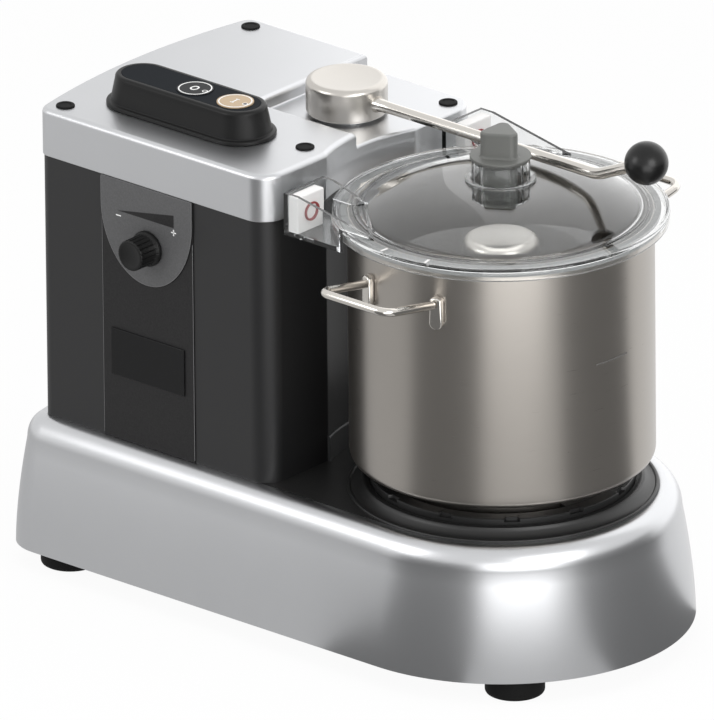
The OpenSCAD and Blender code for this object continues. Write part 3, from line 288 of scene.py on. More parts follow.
# %% One recipe for the finishes
def finish(name, code, roughness, grain_mm, relief_mm, metallic=0.0, cloud_mm=30, cloud=0.05,
           stretch=(1, 1, 1), gloss_spread=0.05, **own):
    """Colour and roughness swing by cloud and gloss_spread with a noise of size
    cloud_mm, and a noise of size grain_mm, stretched, lifts the surface by relief_mm."""
    material = bpy.data.materials.new(name)
    material.use_nodes = True
    tree = material.node_tree
    shader = tree.nodes["Principled BSDF"]
    for key, value in {"Metallic": metallic, **own}.items():
        shader.inputs[key.replace("_", " ")].default_value = value
    place = add_node(tree, "ShaderNodeTexCoord").outputs["Object"]
    clouds = add_node(tree, "ShaderNodeTexNoise", {
        "Vector": place, "Scale": 1 / (cloud_mm * MM), "Detail": 3.0})
    base = np.array(paint(code)[:3])
    tint = add_node(tree, "ShaderNodeMix", {
        0: clouds.outputs["Fac"], 6: (*(base * (1 - cloud)), 1), 7: (*np.minimum(base * (1 + cloud), 1), 1),
    }, data_type="RGBA")
    drawn = add_node(tree, "ShaderNodeMapping", {"Vector": place, "Scale": stretch})
    grain = add_node(tree, "ShaderNodeTexNoise", {
        "Vector": drawn, "Scale": 1 / (grain_mm * MM), "Detail": 2.0})
    gloss = add_node(tree, "ShaderNodeMapRange", {
        0: grain.outputs["Fac"], 3: max(roughness - gloss_spread, 0.01), 4: roughness + gloss_spread})
    relief = add_node(tree, "ShaderNodeBump", {
        "Height": grain.outputs["Fac"], "Distance": relief_mm * MM, "Strength": 1.0})
    for made, slot in ((tint.outputs[2], "Base Color"), (gloss.outputs[0], "Roughness"),
                       (relief.outputs[0], "Normal")):
        tree.links.new(made, shader.inputs[slot])
    return material


# %% [markdown]
# The materials. Ground and lacquered cast aluminium and satin stainless steel spread a
# highlight wide, the polished rods draw it sharp, and powder coat and rubber break it up
# until the black stays matt. The printed films have a stipple that is too fine to show,
# so it is drawn at about a millimetre. Clear polycarbonate bends light a little more
# than glass. The three numbers after a colour are the roughness, the size of the grain
# and the height of its relief in millimetres, and a metal's fourth is its metallic.

# %% Metals
cast_aluminium = finish("ground cast aluminium", "#C9CACC", 0.30, 0.6, 0.004, 1.0, cloud_mm=60, cloud=0.03)
cap_aluminium = finish("satin lacquered aluminium", "#CDCED0", 0.34, 0.6, 0.003, 1.0, cloud_mm=50, cloud=0.02)
bowl_steel = finish("satin stainless steel", "#ADA8A2", 0.30, 2.0, 0.003, 1.0, cloud_mm=40, cloud=0.02,
                    stretch=(0.08, 0.08, 6))
rod_steel = finish("polished stainless steel", "#D2CEC8", 0.14, 1.0, 0.001, 1.0)
hub_steel = finish("turned stainless steel", "#C6C2BC", 0.3, 0.6, 0.002, 1.0)
blade_steel = finish("ground blade steel", "#BDBBB8", 0.25, 0.7, 0.003, 1.0)
plain_steel = finish("zinc-plated steel", "#A9ABAC", 0.4, 0.8, 0.006, 1.0)
raw_aluminium = finish("machined aluminium", "#B9BBBD", 0.35, 0.5, 0.004, 1.0)
copper_wire = finish("enamelled copper winding", "#A5622F", 0.4, 1.2, 0.1, 0.8, stretch=(3, 3, 0.2))

# %% Paints, plastics and rubber
tower_paint = finish("black powder coat", "#1A1A1B", 0.42, 0.5, 0.015)
strip_film = finish("black textured film", "#171617", 0.55, 1.0, 0.06, cloud_mm=1.1, cloud=0.9,
                    gloss_spread=0.12, Specular_IOR_Level=0.35)
dial_film = finish("grey printed film", "#555556", 0.5, 1.0, 0.03, cloud_mm=1.1, cloud=0.3,
                   gloss_spread=0.1, Specular_IOR_Level=0.4)
edge_film = finish("cut edge of film", "#6A6A6B", 0.5, 0.6, 0.003)
name_film = finish("black glossy film", "#0B0B0C", 0.25, 0.8, 0.002, Specular_IOR_Level=0.25)
white_ink = finish("white printing ink", "#EDEDEC", 0.5, 0.5, 0.003)
pod_plastic = finish("black moulded ABS", "#151515", 0.4, 0.6, 0.006, Specular_IOR_Level=0.22)
inlay_film = finish("blue-black polyester film", "#12161B", 0.45, 0.6, 0.003, Specular_IOR_Level=0.03)
stop_cap = finish("dark printed button film", "#1B1C1E", 0.45, 0.6, 0.004, Specular_IOR_Level=0.15)
start_cap = finish("tan printed button film", "#B79F80", 0.4, 0.6, 0.004)
plug_plastic = finish("grey moulded polyamide", "#626360", 0.45, 0.6, 0.006)
ball_plastic = finish("black phenolic", "#080808", 0.32, 1.0, 0.002, Specular_IOR_Level=0.4)
seat_plastic = finish("black glass-filled polyamide", "#1D1D1D", 0.42, 0.7, 0.006)
band_plastic = finish("dark grey moulded trim", "#343536", 0.4, 0.7, 0.006)
foot_rubber = finish("black rubber", "#0A0A0A", 0.7, 0.7, 0.02, Specular_IOR_Level=0.2)
seal_rubber = finish("grey silicone rubber", "#8C8D8D", 0.5, 0.7, 0.004)
board_green = finish("green circuit board", "#1F5534", 0.4, 1.5, 0.02)
motor_paint = finish("grey motor enamel", "#6E7072", 0.4, 0.8, 0.01)
ring_red = finish("red sealing ring", "#8C3234", 0.45, 0.6, 0.004)
scribe_grey = finish("etched grey line", "#5E5D5B", 0.5, 0.6, 0.004)
magnet_case = finish("white moulded magnet case", "#E9E7E6", 0.4, 0.6, 0.004)
clear_plastic = finish("clear moulded polycarbonate", "#F7F8F8", 0.03, 6.0, 0.0005, cloud=0.0,
                       gloss_spread=0.01, IOR=1.58, Transmission_Weight=1.0)

# %% [markdown]
# Clear plastic casts hardly any shadow, but a renderer's shadow rays stop at it. So the
# finish turns transparent for shadow rays and for light that has bounced off a matt
# surface, and the bowl is as bright under its lid as it is in a kitchen.

# %% Light through the clear plastic
clear_tree = clear_plastic.node_tree
rays = add_node(clear_tree, "ShaderNodeLightPath").outputs
passing = add_node(clear_tree, "ShaderNodeMath", {0: rays["Is Shadow Ray"], 1: rays["Is Diffuse Ray"]},
                   operation="MAXIMUM")
through = add_node(clear_tree, "ShaderNodeBsdfTransparent", {"Color": paint("#F4F5F5")})
blend = add_node(clear_tree, "ShaderNodeMixShader", {
    0: passing, 1: clear_tree.nodes["Principled BSDF"], 2: through})
clear_tree.links.new(blend.outputs[0], clear_tree.nodes["Material Output"].inputs[0])

# %% Which node has which finish
FINISHED = (
    (cast_aluminium, "base_shell"), (cap_aluminium, "tower_cap"), (tower_paint, "tower_shell"),
    (plain_steel, "base_plate foot_screws spindle_bearings motor_plate tie_rods rotor_shaft rotor_core"),
    (plain_steel, "spindle_shaft lever_pin"), (copper_wire, "motor_stator"),
    (raw_aluminium, "spindle_housing lever_bush drive_pulley driven_pulley"),
    (foot_rubber, "foot_front_near foot_front_far foot_rear_near foot_rear_far drive_belt cap_plugs"),
    (seat_plastic, "top_plate bowl_seat"), (motor_paint, "motor_housing pod_switches speed_pot"),
    (pod_plastic, "button_pod cord_gland cooling_fan speed_knob"), (inlay_film, "pod_inlay"),
    (strip_film, "control_strip"), (dial_film, "dial_panel"), (white_ink, "dial_marks"),
    (name_film, "name_plate"), (board_green, "power_board"), (hub_steel, "blade_hub lever_hub"),
    (blade_steel, "blade_lower blade_upper"), (bowl_steel, "bowl_shell bowl_ring weld_plates"),
    (rod_steel, "handle_near handle_far lever_arm"), (scribe_grey, "level_line"),
    (clear_plastic, "lid_shell lid_chimney ear_near ear_far"), (seal_rubber, "lid_seal"),
    (magnet_case, "ear_magnets"), (plug_plastic, "feed_plug"), (ball_plastic, "lever_ball"),
    (stop_cap, "button_off"), (start_cap, "button_on"),
)
NODE_FINISH = {name: material for material, names in FINISHED for name in names.split()}
for name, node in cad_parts.items():
    node.data.materials.clear()
    node.data.materials.append(NODE_FINISH[name])
print("finishes on", len(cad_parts), "nodes")

# %% [markdown]
# New pieces are grids of points. A grid has rows along one parameter and columns along
# another, and four neighbours make a face. Closing a grid joins its last row or column
# to the first; a row of equal points becomes a pole when doubles are merged.


# %% Three kinds of grid
def looped(grid):
    """A grid that closes both ways, as a ring does."""
    return grid, True, True, False


def poled(grid):
    """A grid that closes round and ends in two poles, as a ball does."""
    return grid, False, True, False


def capped(grid):
    """A grid that closes round and has a face at each end, as a rod does."""
    return grid, False, True, True


def stretched(grids, factors):
    """The same grids times a factor for x, y and z; a factor of -1 mirrors."""
    return [(grid * factors, *closing) for grid, *closing in grids]


FAR = [1, -1, 1]


# %% From grids to pieces
def build_mesh(name, grids):
    """One mesh from grids given as (points, close_rows, close_columns, cap_ends)."""
    points, faces, start = [], [], 0
    for grid, close_rows, close_columns, cap_ends in grids:
        rows, columns = grid.shape[:2]
        points.append(grid.reshape(-1, 3))
        faces += (grid_faces(rows, columns, close_rows, close_columns) + start).tolist()
        if cap_ends:
            faces += [(start + first + np.arange(columns)).tolist() for first in (0, (rows - 1) * columns)]
        start += rows * columns
    mesh = bpy.data.meshes.new(name)
    mesh.from_pydata(((np.concatenate(points) + AXIS) * MM).tolist(), [], faces)
    return mesh


MERGE_MM = 0.002


def edit(mesh, *steps):
    """Opens a mesh for editing, takes each step on it, and writes it back."""
    work = bmesh.new()
    work.from_mesh(mesh)
    for step in steps:
        step(work)
    work.to_mesh(mesh)
    work.free()


def merge(work):
    """Points that lie on each other become one."""
    bmesh.ops.remove_doubles(work, verts=work.verts, dist=MERGE_MM * MM)


def flatten(degrees):
    """A step that makes one face of neighbours whose directions differ by less."""
    return lambda work: bmesh.ops.dissolve_limit(
        work, angle_limit=math.radians(degrees), verts=work.verts, edges=work.edges)


def tidy_faces(work):
    """Faces without area go, and the rest turn outwards."""
    bmesh.ops.dissolve_degenerate(work, edges=work.edges, dist=MERGE_MM * MM / 2)
    bmesh.ops.recalc_face_normals(work, faces=work.faces)


def dress(mesh, name, material, body, stands_for=None, sharp=32):
    """Makes a mesh a finished piece: smooth but for edges over sharp degrees, with its
    material, and riding on its body."""
    mesh.name = name
    mesh.shade_smooth()
    mesh.set_sharp_from_angle(angle=math.radians(sharp))
    mesh.materials.clear()
    mesh.materials.append(material)
    piece = add_object(name, mesh)
    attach(piece, body)
    if stands_for:
        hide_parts(stands_for)
    print(f"{name}: {len(mesh.polygons)} faces")
    return piece


def put(name, shape, *details):
    """A finished piece from a list of grids or a mesh; the details are dress's."""
    mesh = shape if isinstance(shape, bpy.types.Mesh) else build_mesh(name, shape)
    edit(mesh, merge, tidy_faces)
    return dress(mesh, name, *details)


# %% [markdown]
# Five ways to make a grid. A turned shape spins a profile about an upright line. A
# carried shape takes a profile round an outline. A slab takes a plan straight up. A
# section goes along part of a circle, and a tube follows any path. An arc is the piece
# of curve that rounds the corner of a profile.


# %% Grids
def arc(x, z, r, start, end, steps):
    """Points about (x, z) from start to end degrees, at (x + r cos t, z + r sin t). A pair
    r holds the two radii of an ellipse."""
    t = np.radians(np.linspace(start, end, steps + 1))
    rx, rz = np.broadcast_to(r, 2)
    return list(zip(x + rx * np.cos(t), z + rz * np.sin(t)))


def towards(degrees):
    """A step of length 1 in a direction: (cos t, sin t)."""
    return np.array([math.cos(math.radians(degrees)), math.sin(math.radians(degrees))])


def rectangle(x0, z0, x1, z1):
    """Four corners, anticlockwise."""
    return np.array([(x0, z0), (x1, z0), (x1, z1), (x0, z1)])


def turned(profile, centre=(0, 0), sides=160, cut=None):
    """Points (r cos a, r sin a, z) for each (r, z) of the profile and each angle a. A
    second profile, cut, takes over by its share at each angle."""
    a = np.linspace(0, 2 * np.pi, sides, endpoint=False)
    r, z = np.array(profile, float).T[..., None] + 0 * a
    if cut is not None:
        r2, z2 = np.array(cut[0], float).T[..., None] + 0 * a
        s = cut[1](a)
        r, z = r + (r2 - r) * s, z + (z2 - z) * s
    return np.stack([centre[0] + r * np.cos(a), centre[1] + r * np.sin(a), z], -1)


def outward(outline):
    """Unit normals of a closed outline that runs anticlockwise: the tangent between
    both neighbours, turned a quarter clockwise."""
    along = np.roll(outline, -1, 0) - np.roll(outline, 1, 0)
    normal = np.stack([along[:, 1], -along[:, 0]], -1)
    return normal / np.linalg.norm(normal, axis=1)[:, None]


def at_height(plan, z):
    """Points of a plan (x, y), at one height or at a height for each."""
    return np.column_stack([plan, np.broadcast_to(z, len(plan))])


def carried(outline, profile):
    """Rows of the profile (out, z) round the outline: outline + out * normal, at z."""
    outline = np.array(outline, float)
    return np.stack([at_height(outline + out * outward(outline), z) for out, z in profile])


def slab(plan, low_z, high_z):
    """A plan carried straight up from low_z to high_z, which may differ by corner."""
    return [capped(np.stack([at_height(plan, low_z), at_height(plan, high_z)]))]


def along_arc(section, start, end, steps):
    """A closed section (radius, z) at each angle from start to end degrees."""
    r, z = np.array(section, float).T
    a = np.radians(np.linspace(start, end, steps + 1))[:, None]
    return np.stack([np.cos(a) * r, np.sin(a) * r, 0 * a + z], -1)


def tube(path, radius, sides=24, lean=(0.57, -0.57, 0.6)):
    """Circles across the path. The lean direction is never along it, so that two
    products with the tangent give the circle's two axes."""
    path = np.array(path, float)
    along = np.gradient(path, axis=0)
    along /= np.linalg.norm(along, axis=1)[:, None]
    side = np.cross(along, lean)
    side /= np.linalg.norm(side, axis=1)[:, None]
    over = np.cross(along, side)
    a = np.linspace(0, 2 * np.pi, sides, endpoint=False)[None, :, None]
    r = np.broadcast_to(radius, len(path))[:, None, None]
    return path[:, None] + r * (np.cos(a) * side[:, None] + np.sin(a) * over[:, None])


# %% [markdown]
# Base. The real one is a single casting: upright walls that lean in slightly, a broad
# rounded shoulder and a narrow ledge round the black top. A section is carried round
# the plan, whose front is a half circle about the bowl and whose rear bulges a little.

# %% Base casting
REAR_R, CORNER_R = 525, 32
BASE_L = base_high[0] - base_low[0]
ARC_X = REAR_R + BASE_R - BASE_L
CORNER_Y = BASE_R - CORNER_R
CORNER_X = ARC_X - math.sqrt((REAR_R - CORNER_R) ** 2 - CORNER_Y ** 2)
REAR_HALF = math.degrees(math.asin(CORNER_Y / (REAR_R - CORNER_R)))
WALL_LEAN, SHOULDER_H, LEDGE_IN, BORDER_IN, BASE_WALL = 8.8, 17, 21.5, 25.4, 4
LEAN_POWER, LIP_W, LIP_T, PLATE_T = 1.6, 4.6, 3, 3


def base_stations():
    """Centre, radius and direction of each station round the plan."""
    front = [(0, 0, BASE_R, t) for t in np.linspace(-90, 90, 97)]
    side = [(x, 0, BASE_R, 90) for x in np.linspace(0, CORNER_X, 9)[1:-1]]
    corner = [(CORNER_X, CORNER_Y, CORNER_R, t) for t in np.linspace(90, 180 - REAR_HALF, 13)]
    rear = [(ARC_X, 0, REAR_R, t) for t in np.linspace(180 - REAR_HALF, 180 + REAR_HALF, 17)[1:-1]]
    mirrored = [(x, -y, r, 360 - t) for x, y, r, t in reversed(side + corner)]
    return np.array(front + side + corner + rear + mirrored)


def base_section():
    """Distance in from the edge and height: lean^1.6, an ellipse over the shoulder, the
    ledge, the lip that carries the top plate, and the same curve again inside."""
    top, lip = DECK_Z - SHOULDER_H, -BORDER_IN - LIP_W
    share = np.linspace(0, 1, 10)
    lean = list(zip(-WALL_LEAN * share ** LEAN_POWER, FOOT_Z + (top - FOOT_Z) * share))
    width = LEDGE_IN - WALL_LEAN
    return np.array(
        lean + arc(-LEDGE_IN, top, (width, SHOULDER_H), 0, 90, 14)[1:]
        + [(-BORDER_IN + 0.6, DECK_Z), (-BORDER_IN, DECK_Z - 0.6), (-BORDER_IN, DECK_Z - PLATE_T),
           (lip, DECK_Z - PLATE_T), (lip, DECK_Z - PLATE_T - LIP_T)]
        + arc(-LEDGE_IN, top, (width - BASE_WALL, SHOULDER_H - PLATE_T - LIP_T), 90, 0, 8)[:-1]
        + [(x - BASE_WALL, z) for x, z in reversed(lean)] + [(-BASE_WALL / 2, FOOT_Z)])


centre_x, centre_y, radius, angle = base_stations().T
inward, rise_z = base_section().T[..., None]
reach, angle = radius + inward, np.radians(angle)
base_grid = np.stack([
    centre_x + reach * np.cos(angle), centre_y + reach * np.sin(angle), rise_z + 0 * angle], -1)
put("base_casting", [looped(base_grid)], cast_aluminium, "machine", "base_shell", 50)

# %% [markdown]
# Tower. Sheet metal folded round a plan like the base's, with a round hollow that faces
# the bowl. The cap is a shallow tray with a recess for the lever's hub. Both start as
# straight slabs, out of which other slabs are cut. A Bevel modifier rolls the cap's edges.

# %% Tower outlines
TOWER_IN, NOSE_R, POCKET_R = BASE_R - cap_high[1], 17, 125
FRONT_X = -cap_high[0]
PAST, LEVEL_MM, ROLL_FACES, ROLL_FLAT = 5, 0.01, 4, 0.5


def pocket_mouth(inward):
    """Half the angle about the bowl between the hollow's two edges: cos is front over
    radius, both for an outline moved inward."""
    return math.degrees(math.acos((FRONT_X + inward) / (POCKET_R + inward)))


def tower_outline(inward):
    """Anticlockwise plan, moved inward from the cap's edge: nose, flat front, pocket arc,
    front, nose, corner, rear, corner."""
    nose_x, nose_y, nose = -FRONT_X - NOSE_R, cap_high[1] - NOSE_R, NOSE_R - inward
    inset, mouth = TOWER_IN + inward, pocket_mouth(inward)
    return (arc(nose_x, -nose_y, nose, -90, 0, 12)
            + arc(0, 0, POCKET_R + inward, 180 + mouth, 180 - mouth, 40)
            + arc(nose_x, nose_y, nose, 0, 90, 12)
            + arc(CORNER_X, CORNER_Y, CORNER_R - inset, 90, 180 - REAR_HALF, 8)
            + arc(ARC_X, 0, REAR_R - inset, 180 - REAR_HALF, 180 + REAR_HALF, 16)[1:-1]
            + arc(CORNER_X, -CORNER_Y, CORNER_R - inset, 180 + REAR_HALF, 270, 8))


def applied(piece):
    """The mesh of an object with its modifiers applied."""
    return bpy.data.meshes.new_from_object(piece.evaluated_get(bpy.context.evaluated_depsgraph_get()))


def boolean(name, *shapes):
    """Cuts the other shapes off the first and returns the mesh that is left."""
    made = []
    for k, grids in enumerate(shapes):
        mesh = build_mesh(f"{name} {k}", grids)
        edit(mesh, merge, tidy_faces)
        made.append(add_object(mesh.name, mesh))
    for cutter in made[1:]:
        modifier = made[0].modifiers.new("cut", "BOOLEAN")
        modifier.object, modifier.operation, modifier.solver = cutter, "DIFFERENCE", "EXACT"
    result = applied(made[0])
    for helper in made:
        bpy.data.objects.remove(helper)
    return result


def roll_edges(mesh, width, pick):
    """Rounds the edges of a mesh by width times pick(start, end), and applies it."""
    edit(mesh, flatten(ROLL_FLAT))
    points = np.zeros(len(mesh.vertices) * 3)
    mesh.vertices.foreach_get("co", points)
    ends = np.zeros(len(mesh.edges) * 2, int)
    mesh.edges.foreach_get("vertices", ends)
    start, end = (points.reshape(-1, 3) / MM - AXIS)[ends.reshape(-1, 2).T]
    weights = mesh.attributes.new("bevel_weight_edge", "FLOAT", "EDGE")
    weights.data.foreach_set("value", pick(start, end).astype(np.float32))
    helper = add_object("rolling", mesh)
    bevel = helper.modifiers.new("roll", "BEVEL")
    bevel.limit_method, bevel.width, bevel.segments = "WEIGHT", width * MM, ROLL_FACES
    bevel.use_clamp_overlap, bevel.miter_outer = False, "MITER_ARC"
    result = applied(helper)
    bpy.data.objects.remove(helper)
    return result


def even_shading(piece):
    """Flat faces keep their own direction where they meet a rolled edge."""
    piece.modifiers.new("even", "WEIGHTED_NORMAL").keep_sharp = True


# %% Tower body
SHELL_T, CAP_STEP = 3, 1
body_z, body_top = heights("tower_shell")
body = slab(tower_outline(CAP_STEP), body_z, body_top)
hollow = slab(tower_outline(CAP_STEP + SHELL_T), body_z - PAST, body_top + PAST)
even_shading(put("tower_body", boolean("tower", body, hollow), tower_paint, "machine", "tower_shell"))

# %% Cap with its recess
CAP_T, RECESS_D, RECESS_BACK, RECESS_Y, RECESS_R, CAP_ROLL = 3, 10, 215, 5.5, 11, 3.5
RECESS_Z = CAP_TOP - RECESS_D
far_y = BASE_R * 1.5
recess_plan = ([(0, -RECESS_Y), (0, far_y), (-RECESS_BACK, far_y)]
               + arc(RECESS_R - RECESS_BACK, RECESS_R - RECESS_Y, RECESS_R, 180, 270, 12))
cap_mesh = boolean(
    "cap", slab(tower_outline(0), CAP_Z, CAP_TOP), slab(recess_plan, RECESS_Z, CAP_TOP + PAST),
    slab(tower_outline(CAP_T), CAP_Z - PAST, RECESS_Z - CAP_T))


def cap_rolls(a, b):
    """The share of the roll that each edge gets by its height: all of it round the top,
    0.6 along the recess's floor, 0.15 at the lower edge, and none on upright edges."""
    return sum(share * ((abs(a[:, 2] - z) < LEVEL_MM) & (abs(a[:, 2] - b[:, 2]) < LEVEL_MM))
               for z, share in ((CAP_TOP, 1.0), (RECESS_Z, 0.6), (CAP_Z, 0.15)))


cap_mesh = roll_edges(cap_mesh, CAP_ROLL, cap_rolls)
even_shading(put("cap_tray", cap_mesh, cap_aluminium, "machine", "tower_cap"))

# %% [markdown]
# The band at the foot of the hollow is a separate strip of lighter plastic. It follows
# the hollow's arc, so a small section is carried along that arc.

# %% Band in the hollow
BAND_H, BAND_T, BAND_GROW = 18, 2, 0.8
mouth = pocket_mouth(CAP_STEP)
band_section = np.array([(0, 0), (0, BAND_H - BAND_GROW), (BAND_GROW, BAND_H), (BAND_T, BAND_H), (BAND_T, 0)])
band_section += [POCKET_R + CAP_STEP - BAND_T, DECK_Z]
put("hollow_band", [capped(along_arc(band_section, 180 - mouth, 180 + mouth, 40))], band_plastic, "machine")

# %% [markdown]
# Bowl seat. A moulded ring with a fine bead, a dished skirt, a groove and a toothed
# collar that the bowl's bayonet locks into. The notches are a second profile that
# takes over at twelve angles, and three hooks inside hold the bowl's lugs.

# %% Bowl seat
SEAT_R, SKIRT_R, SKIRT_H = BOWL_R + 2, BOWL_R - 9, 7
COLLAR_R, COLLAR_IN, COLLAR_H = BOWL_R - 14, BOWL_R - 24, 11
SEAT_FLOOR, NECK_R, BEAD_W, BEAD_H, GROOVE_H, SOFT = 2.5, 24.3, 2.4, 1.6, 3.5, 0.5
NOTCHES, NOTCH_DEG, NOTCH_D, NOTCH_H = 12, 6, 3, 2.5
HOOKS, HOOK_DEG, HOOK_W, HOOK_T = 3, 34, 6.0, 3


def seat_profile(depth):
    """From the inner edge under the seat, out and up over the bead, along the dish, over
    the skirt's edge, down the groove and up the collar, whose edge is cut by depth."""
    bead = arc(SEAT_R - BEAD_W / 2, BEAD_H / 2, (BEAD_W / 2, BEAD_H / 2), -20, 170, 8)
    dish_w, dish_h = SEAT_R - BEAD_W - SKIRT_R, SKIRT_H - 1.5
    dish = [(SEAT_R - BEAD_W - dish_w * t, 0.6 + dish_h * t ** 2) for t in np.linspace(0.05, 0.9, 8)]
    cut_r = COLLAR_R - depth
    return np.array(
        [(NECK_R, 0), (SEAT_R, 0)] + bead + dish + arc(SKIRT_R - 0.6, SKIRT_H - 1.0, (1.4, 1.0), 40, 150, 5)
        + [(COLLAR_R + 1, SKIRT_H - 0.8), (COLLAR_R + 0.8, GROOVE_H), (COLLAR_R, GROOVE_H),
           (COLLAR_R, COLLAR_H - NOTCH_H), (cut_r, COLLAR_H - NOTCH_H),
           (cut_r, COLLAR_H - SOFT * (depth == 0)), (cut_r - SOFT, COLLAR_H), (COLLAR_IN + SOFT, COLLAR_H),
           (COLLAR_IN, COLLAR_H - SOFT), (COLLAR_IN, SEAT_FLOOR), (NECK_R, SEAT_FLOOR)]) + [0, DECK_Z]


def in_notch(a):
    """1 within half a notch's angle of its middle, with edges half a degree wide."""
    turn = np.degrees(a) % (360 / NOTCHES) - 180 / NOTCHES
    return np.clip((NOTCH_DEG / 2 - abs(turn)) / 0.5 + 0.5, 0, 1)


put("seat_ring", [looped(turned(seat_profile(0), sides=720, cut=(seat_profile(NOTCH_D), in_notch)))],
    seat_plastic, "machine", "bowl_seat", 40)
collar_top = DECK_Z + COLLAR_H
hook_section = rectangle(COLLAR_IN - HOOK_W, collar_top - HOOK_T, COLLAR_IN, collar_top)
hook_turns = [360 / HOOKS * k for k in range(HOOKS)]
put("seat_hooks", [capped(along_arc(hook_section, turn - HOOK_DEG / 2, turn + HOOK_DEG / 2, 16))
                   for turn in hook_turns], seat_plastic, "machine")

# %% [markdown]
# Bowl. Deep-drawn stainless steel, 1.5 mm thick, with a soft lower edge and a rim that
# is rolled smooth. Its profile runs once round the whole wall, inside and out.

# %% Bowl
BOWL_WALL, EDGE_R, TUBE_R, TUBE_T, TUBE_DROP = 1.5, 7, 16, 2, 39
WALL_END, FLOOR_IN, TUBE_FOOT = 4, 12, 3


def bowl_profile():
    """Underside, lower edge, wall, half round rim, wall, floor edge, floor and tube."""
    out, edge_z, floor_z, half = BOWL_R - EDGE_R, BOWL_Z + EDGE_R, BOWL_Z + BOWL_WALL, BOWL_WALL / 2
    wall = np.linspace(edge_z + WALL_END, RIM_Z - WALL_END, 12)
    return (
        [(TUBE_R - TUBE_T, BOWL_Z), (out - FLOOR_IN, BOWL_Z + 0.4)] + arc(out, edge_z, EDGE_R, -90, 0, 10)
        + [(BOWL_R, z) for z in wall] + arc(BOWL_R - half, RIM_Z - half, half, 0, 180, 8)
        + [(BOWL_R - BOWL_WALL, z) for z in wall[::-1]]
        + arc(out, edge_z, EDGE_R - BOWL_WALL, 0, -90, 10) + [(out - FLOOR_IN, floor_z)]
        + arc(TUBE_R + TUBE_FOOT, floor_z + TUBE_FOOT, TUBE_FOOT, 270, 180, 5)
        + arc(TUBE_R - TUBE_T / 2, RIM_Z - TUBE_DROP - TUBE_T / 2, TUBE_T / 2, 0, 180, 6))


put("drawn_bowl", [looped(turned(bowl_profile(), sides=256))], bowl_steel, "bowl", "bowl_shell", 40)

# %% [markdown]
# Handles. Each is one steel rod, bent to a wide loop, whose ends are flattened into
# tongues that are welded down the bowl's wall. The rod is a tube along a path made of
# straight stretches and quarter bends, and a tongue is a rounded slab.

# %% Handles
ROD_R, ARM_X, ARM_L, ARM_TILT, GRIP_R, ARM_DROP = 3, 30, 43, 10.6, 9, 27.5
WELD_T, TONGUE_W, TONGUE_T, TONGUE_L, TONGUE_ROLL, SWELL = 1.6, 9.4, 5.0, 20, 1.2, 0.3
ROOT_BEND, TONGUE_SINK, TONGUE_UP = 6, 0.4, 1
leg_y = math.sqrt((BOWL_R + WELD_T + ROD_R + SWELL) ** 2 - ARM_X ** 2)
root_y = leg_y + ROOT_BEND * (1 - towards(ARM_TILT)[1])
root_z = RIM_Z - ARM_DROP


def handle_path():
    """Half of the loop and its mirror image: the arm out from the wall, a quarter bend
    of radius GRIP_R and the grip, all in a plane that is tilted up."""
    half = ([(ARM_X, y) for y in np.linspace(leg_y - root_y + 0.5, ARM_L - GRIP_R, 8)[:-1]]
            + arc(ARM_X - GRIP_R, ARM_L - GRIP_R, GRIP_R, 0, 90, 12))
    x, y = np.array(half + [(-x, y) for x, y in reversed(half)]).T
    along, up = towards(ARM_TILT)
    return np.stack([x, root_y + y * along, root_z + y * up], -1)


def tongue(x):
    """A slab on the wall with a half round lower end: the outline of a stadium, cut at
    the top, carried through its thickness with rounded edges, and leaned to the wall."""
    w, roll = TONGUE_W / 2, TONGUE_ROLL
    plan = arc(0, w - TONGUE_L, w, 180, 360, 16) + arc(0, 1, (w - 0.6, 2.2), 10, 170, 10)
    flat = carried(plan, [(-roll, 0), (0, 0)] + arc(-roll, TONGUE_T - roll, roll, 0, 90, 5))
    r = BOWL_R - TONGUE_SINK + flat[..., 2]
    along = math.asin(x / BOWL_R) + flat[..., 0] / BOWL_R
    return np.stack([r * np.sin(along), r * np.cos(along), root_z + TONGUE_UP + flat[..., 1]], -1)


for side, turn_sign in (("near", -1), ("far", 1)):
    grids = [capped(grid) for grid in (tube(handle_path(), ROD_R), tongue(-ARM_X), tongue(ARM_X))]
    put(f"loop_handle_{side}", stretched(grids, [turn_sign, turn_sign, 1]), rod_steel, "bowl",
        f"handle_{side}", 45)

# %% [markdown]
# Lid. A vacuum-formed or moulded sheet of clear polycarbonate: a flange over the rim, a
# short skirt and a shallow dome. It is a closed wall with real thickness, so that light
# bends through it as in the real sheet.

# %% Lid
LID_T, DOME_T, SKIRT_Z, FLANGE_Z = 3, 2.5, lid_low[2], RIM_Z + 0.3
DOME_Z, DOME_TOP, DOME_R = FLANGE_Z + LID_T, lid_high[2], BOWL_R - 6
CHIMNEY_R, CHIMNEY_RING_R, CHIMNEY_IN = 20.4, 24.2, 17.5
LIP_ROLL, LID_ROLL, STEP_IN, STEP_ROLL, DOME_START = 1, 2, 3, 1.2, 0.6
dome_rise = DOME_TOP - DOME_Z
DOME_BALL = (DOME_R - CHIMNEY_RING_R) ** 2 / (2 * dome_rise) + dome_rise / 2


def dome_line(drop, from_r, to_r):
    """The dome's arc: top - R + sqrt(R^2 - (r - ring)^2), lowered by drop."""
    r = np.linspace(from_r, to_r, 28)
    z = DOME_TOP - DOME_BALL + np.sqrt(DOME_BALL ** 2 - np.maximum(r - CHIMNEY_RING_R, 0) ** 2)
    return list(zip(r, z - drop))


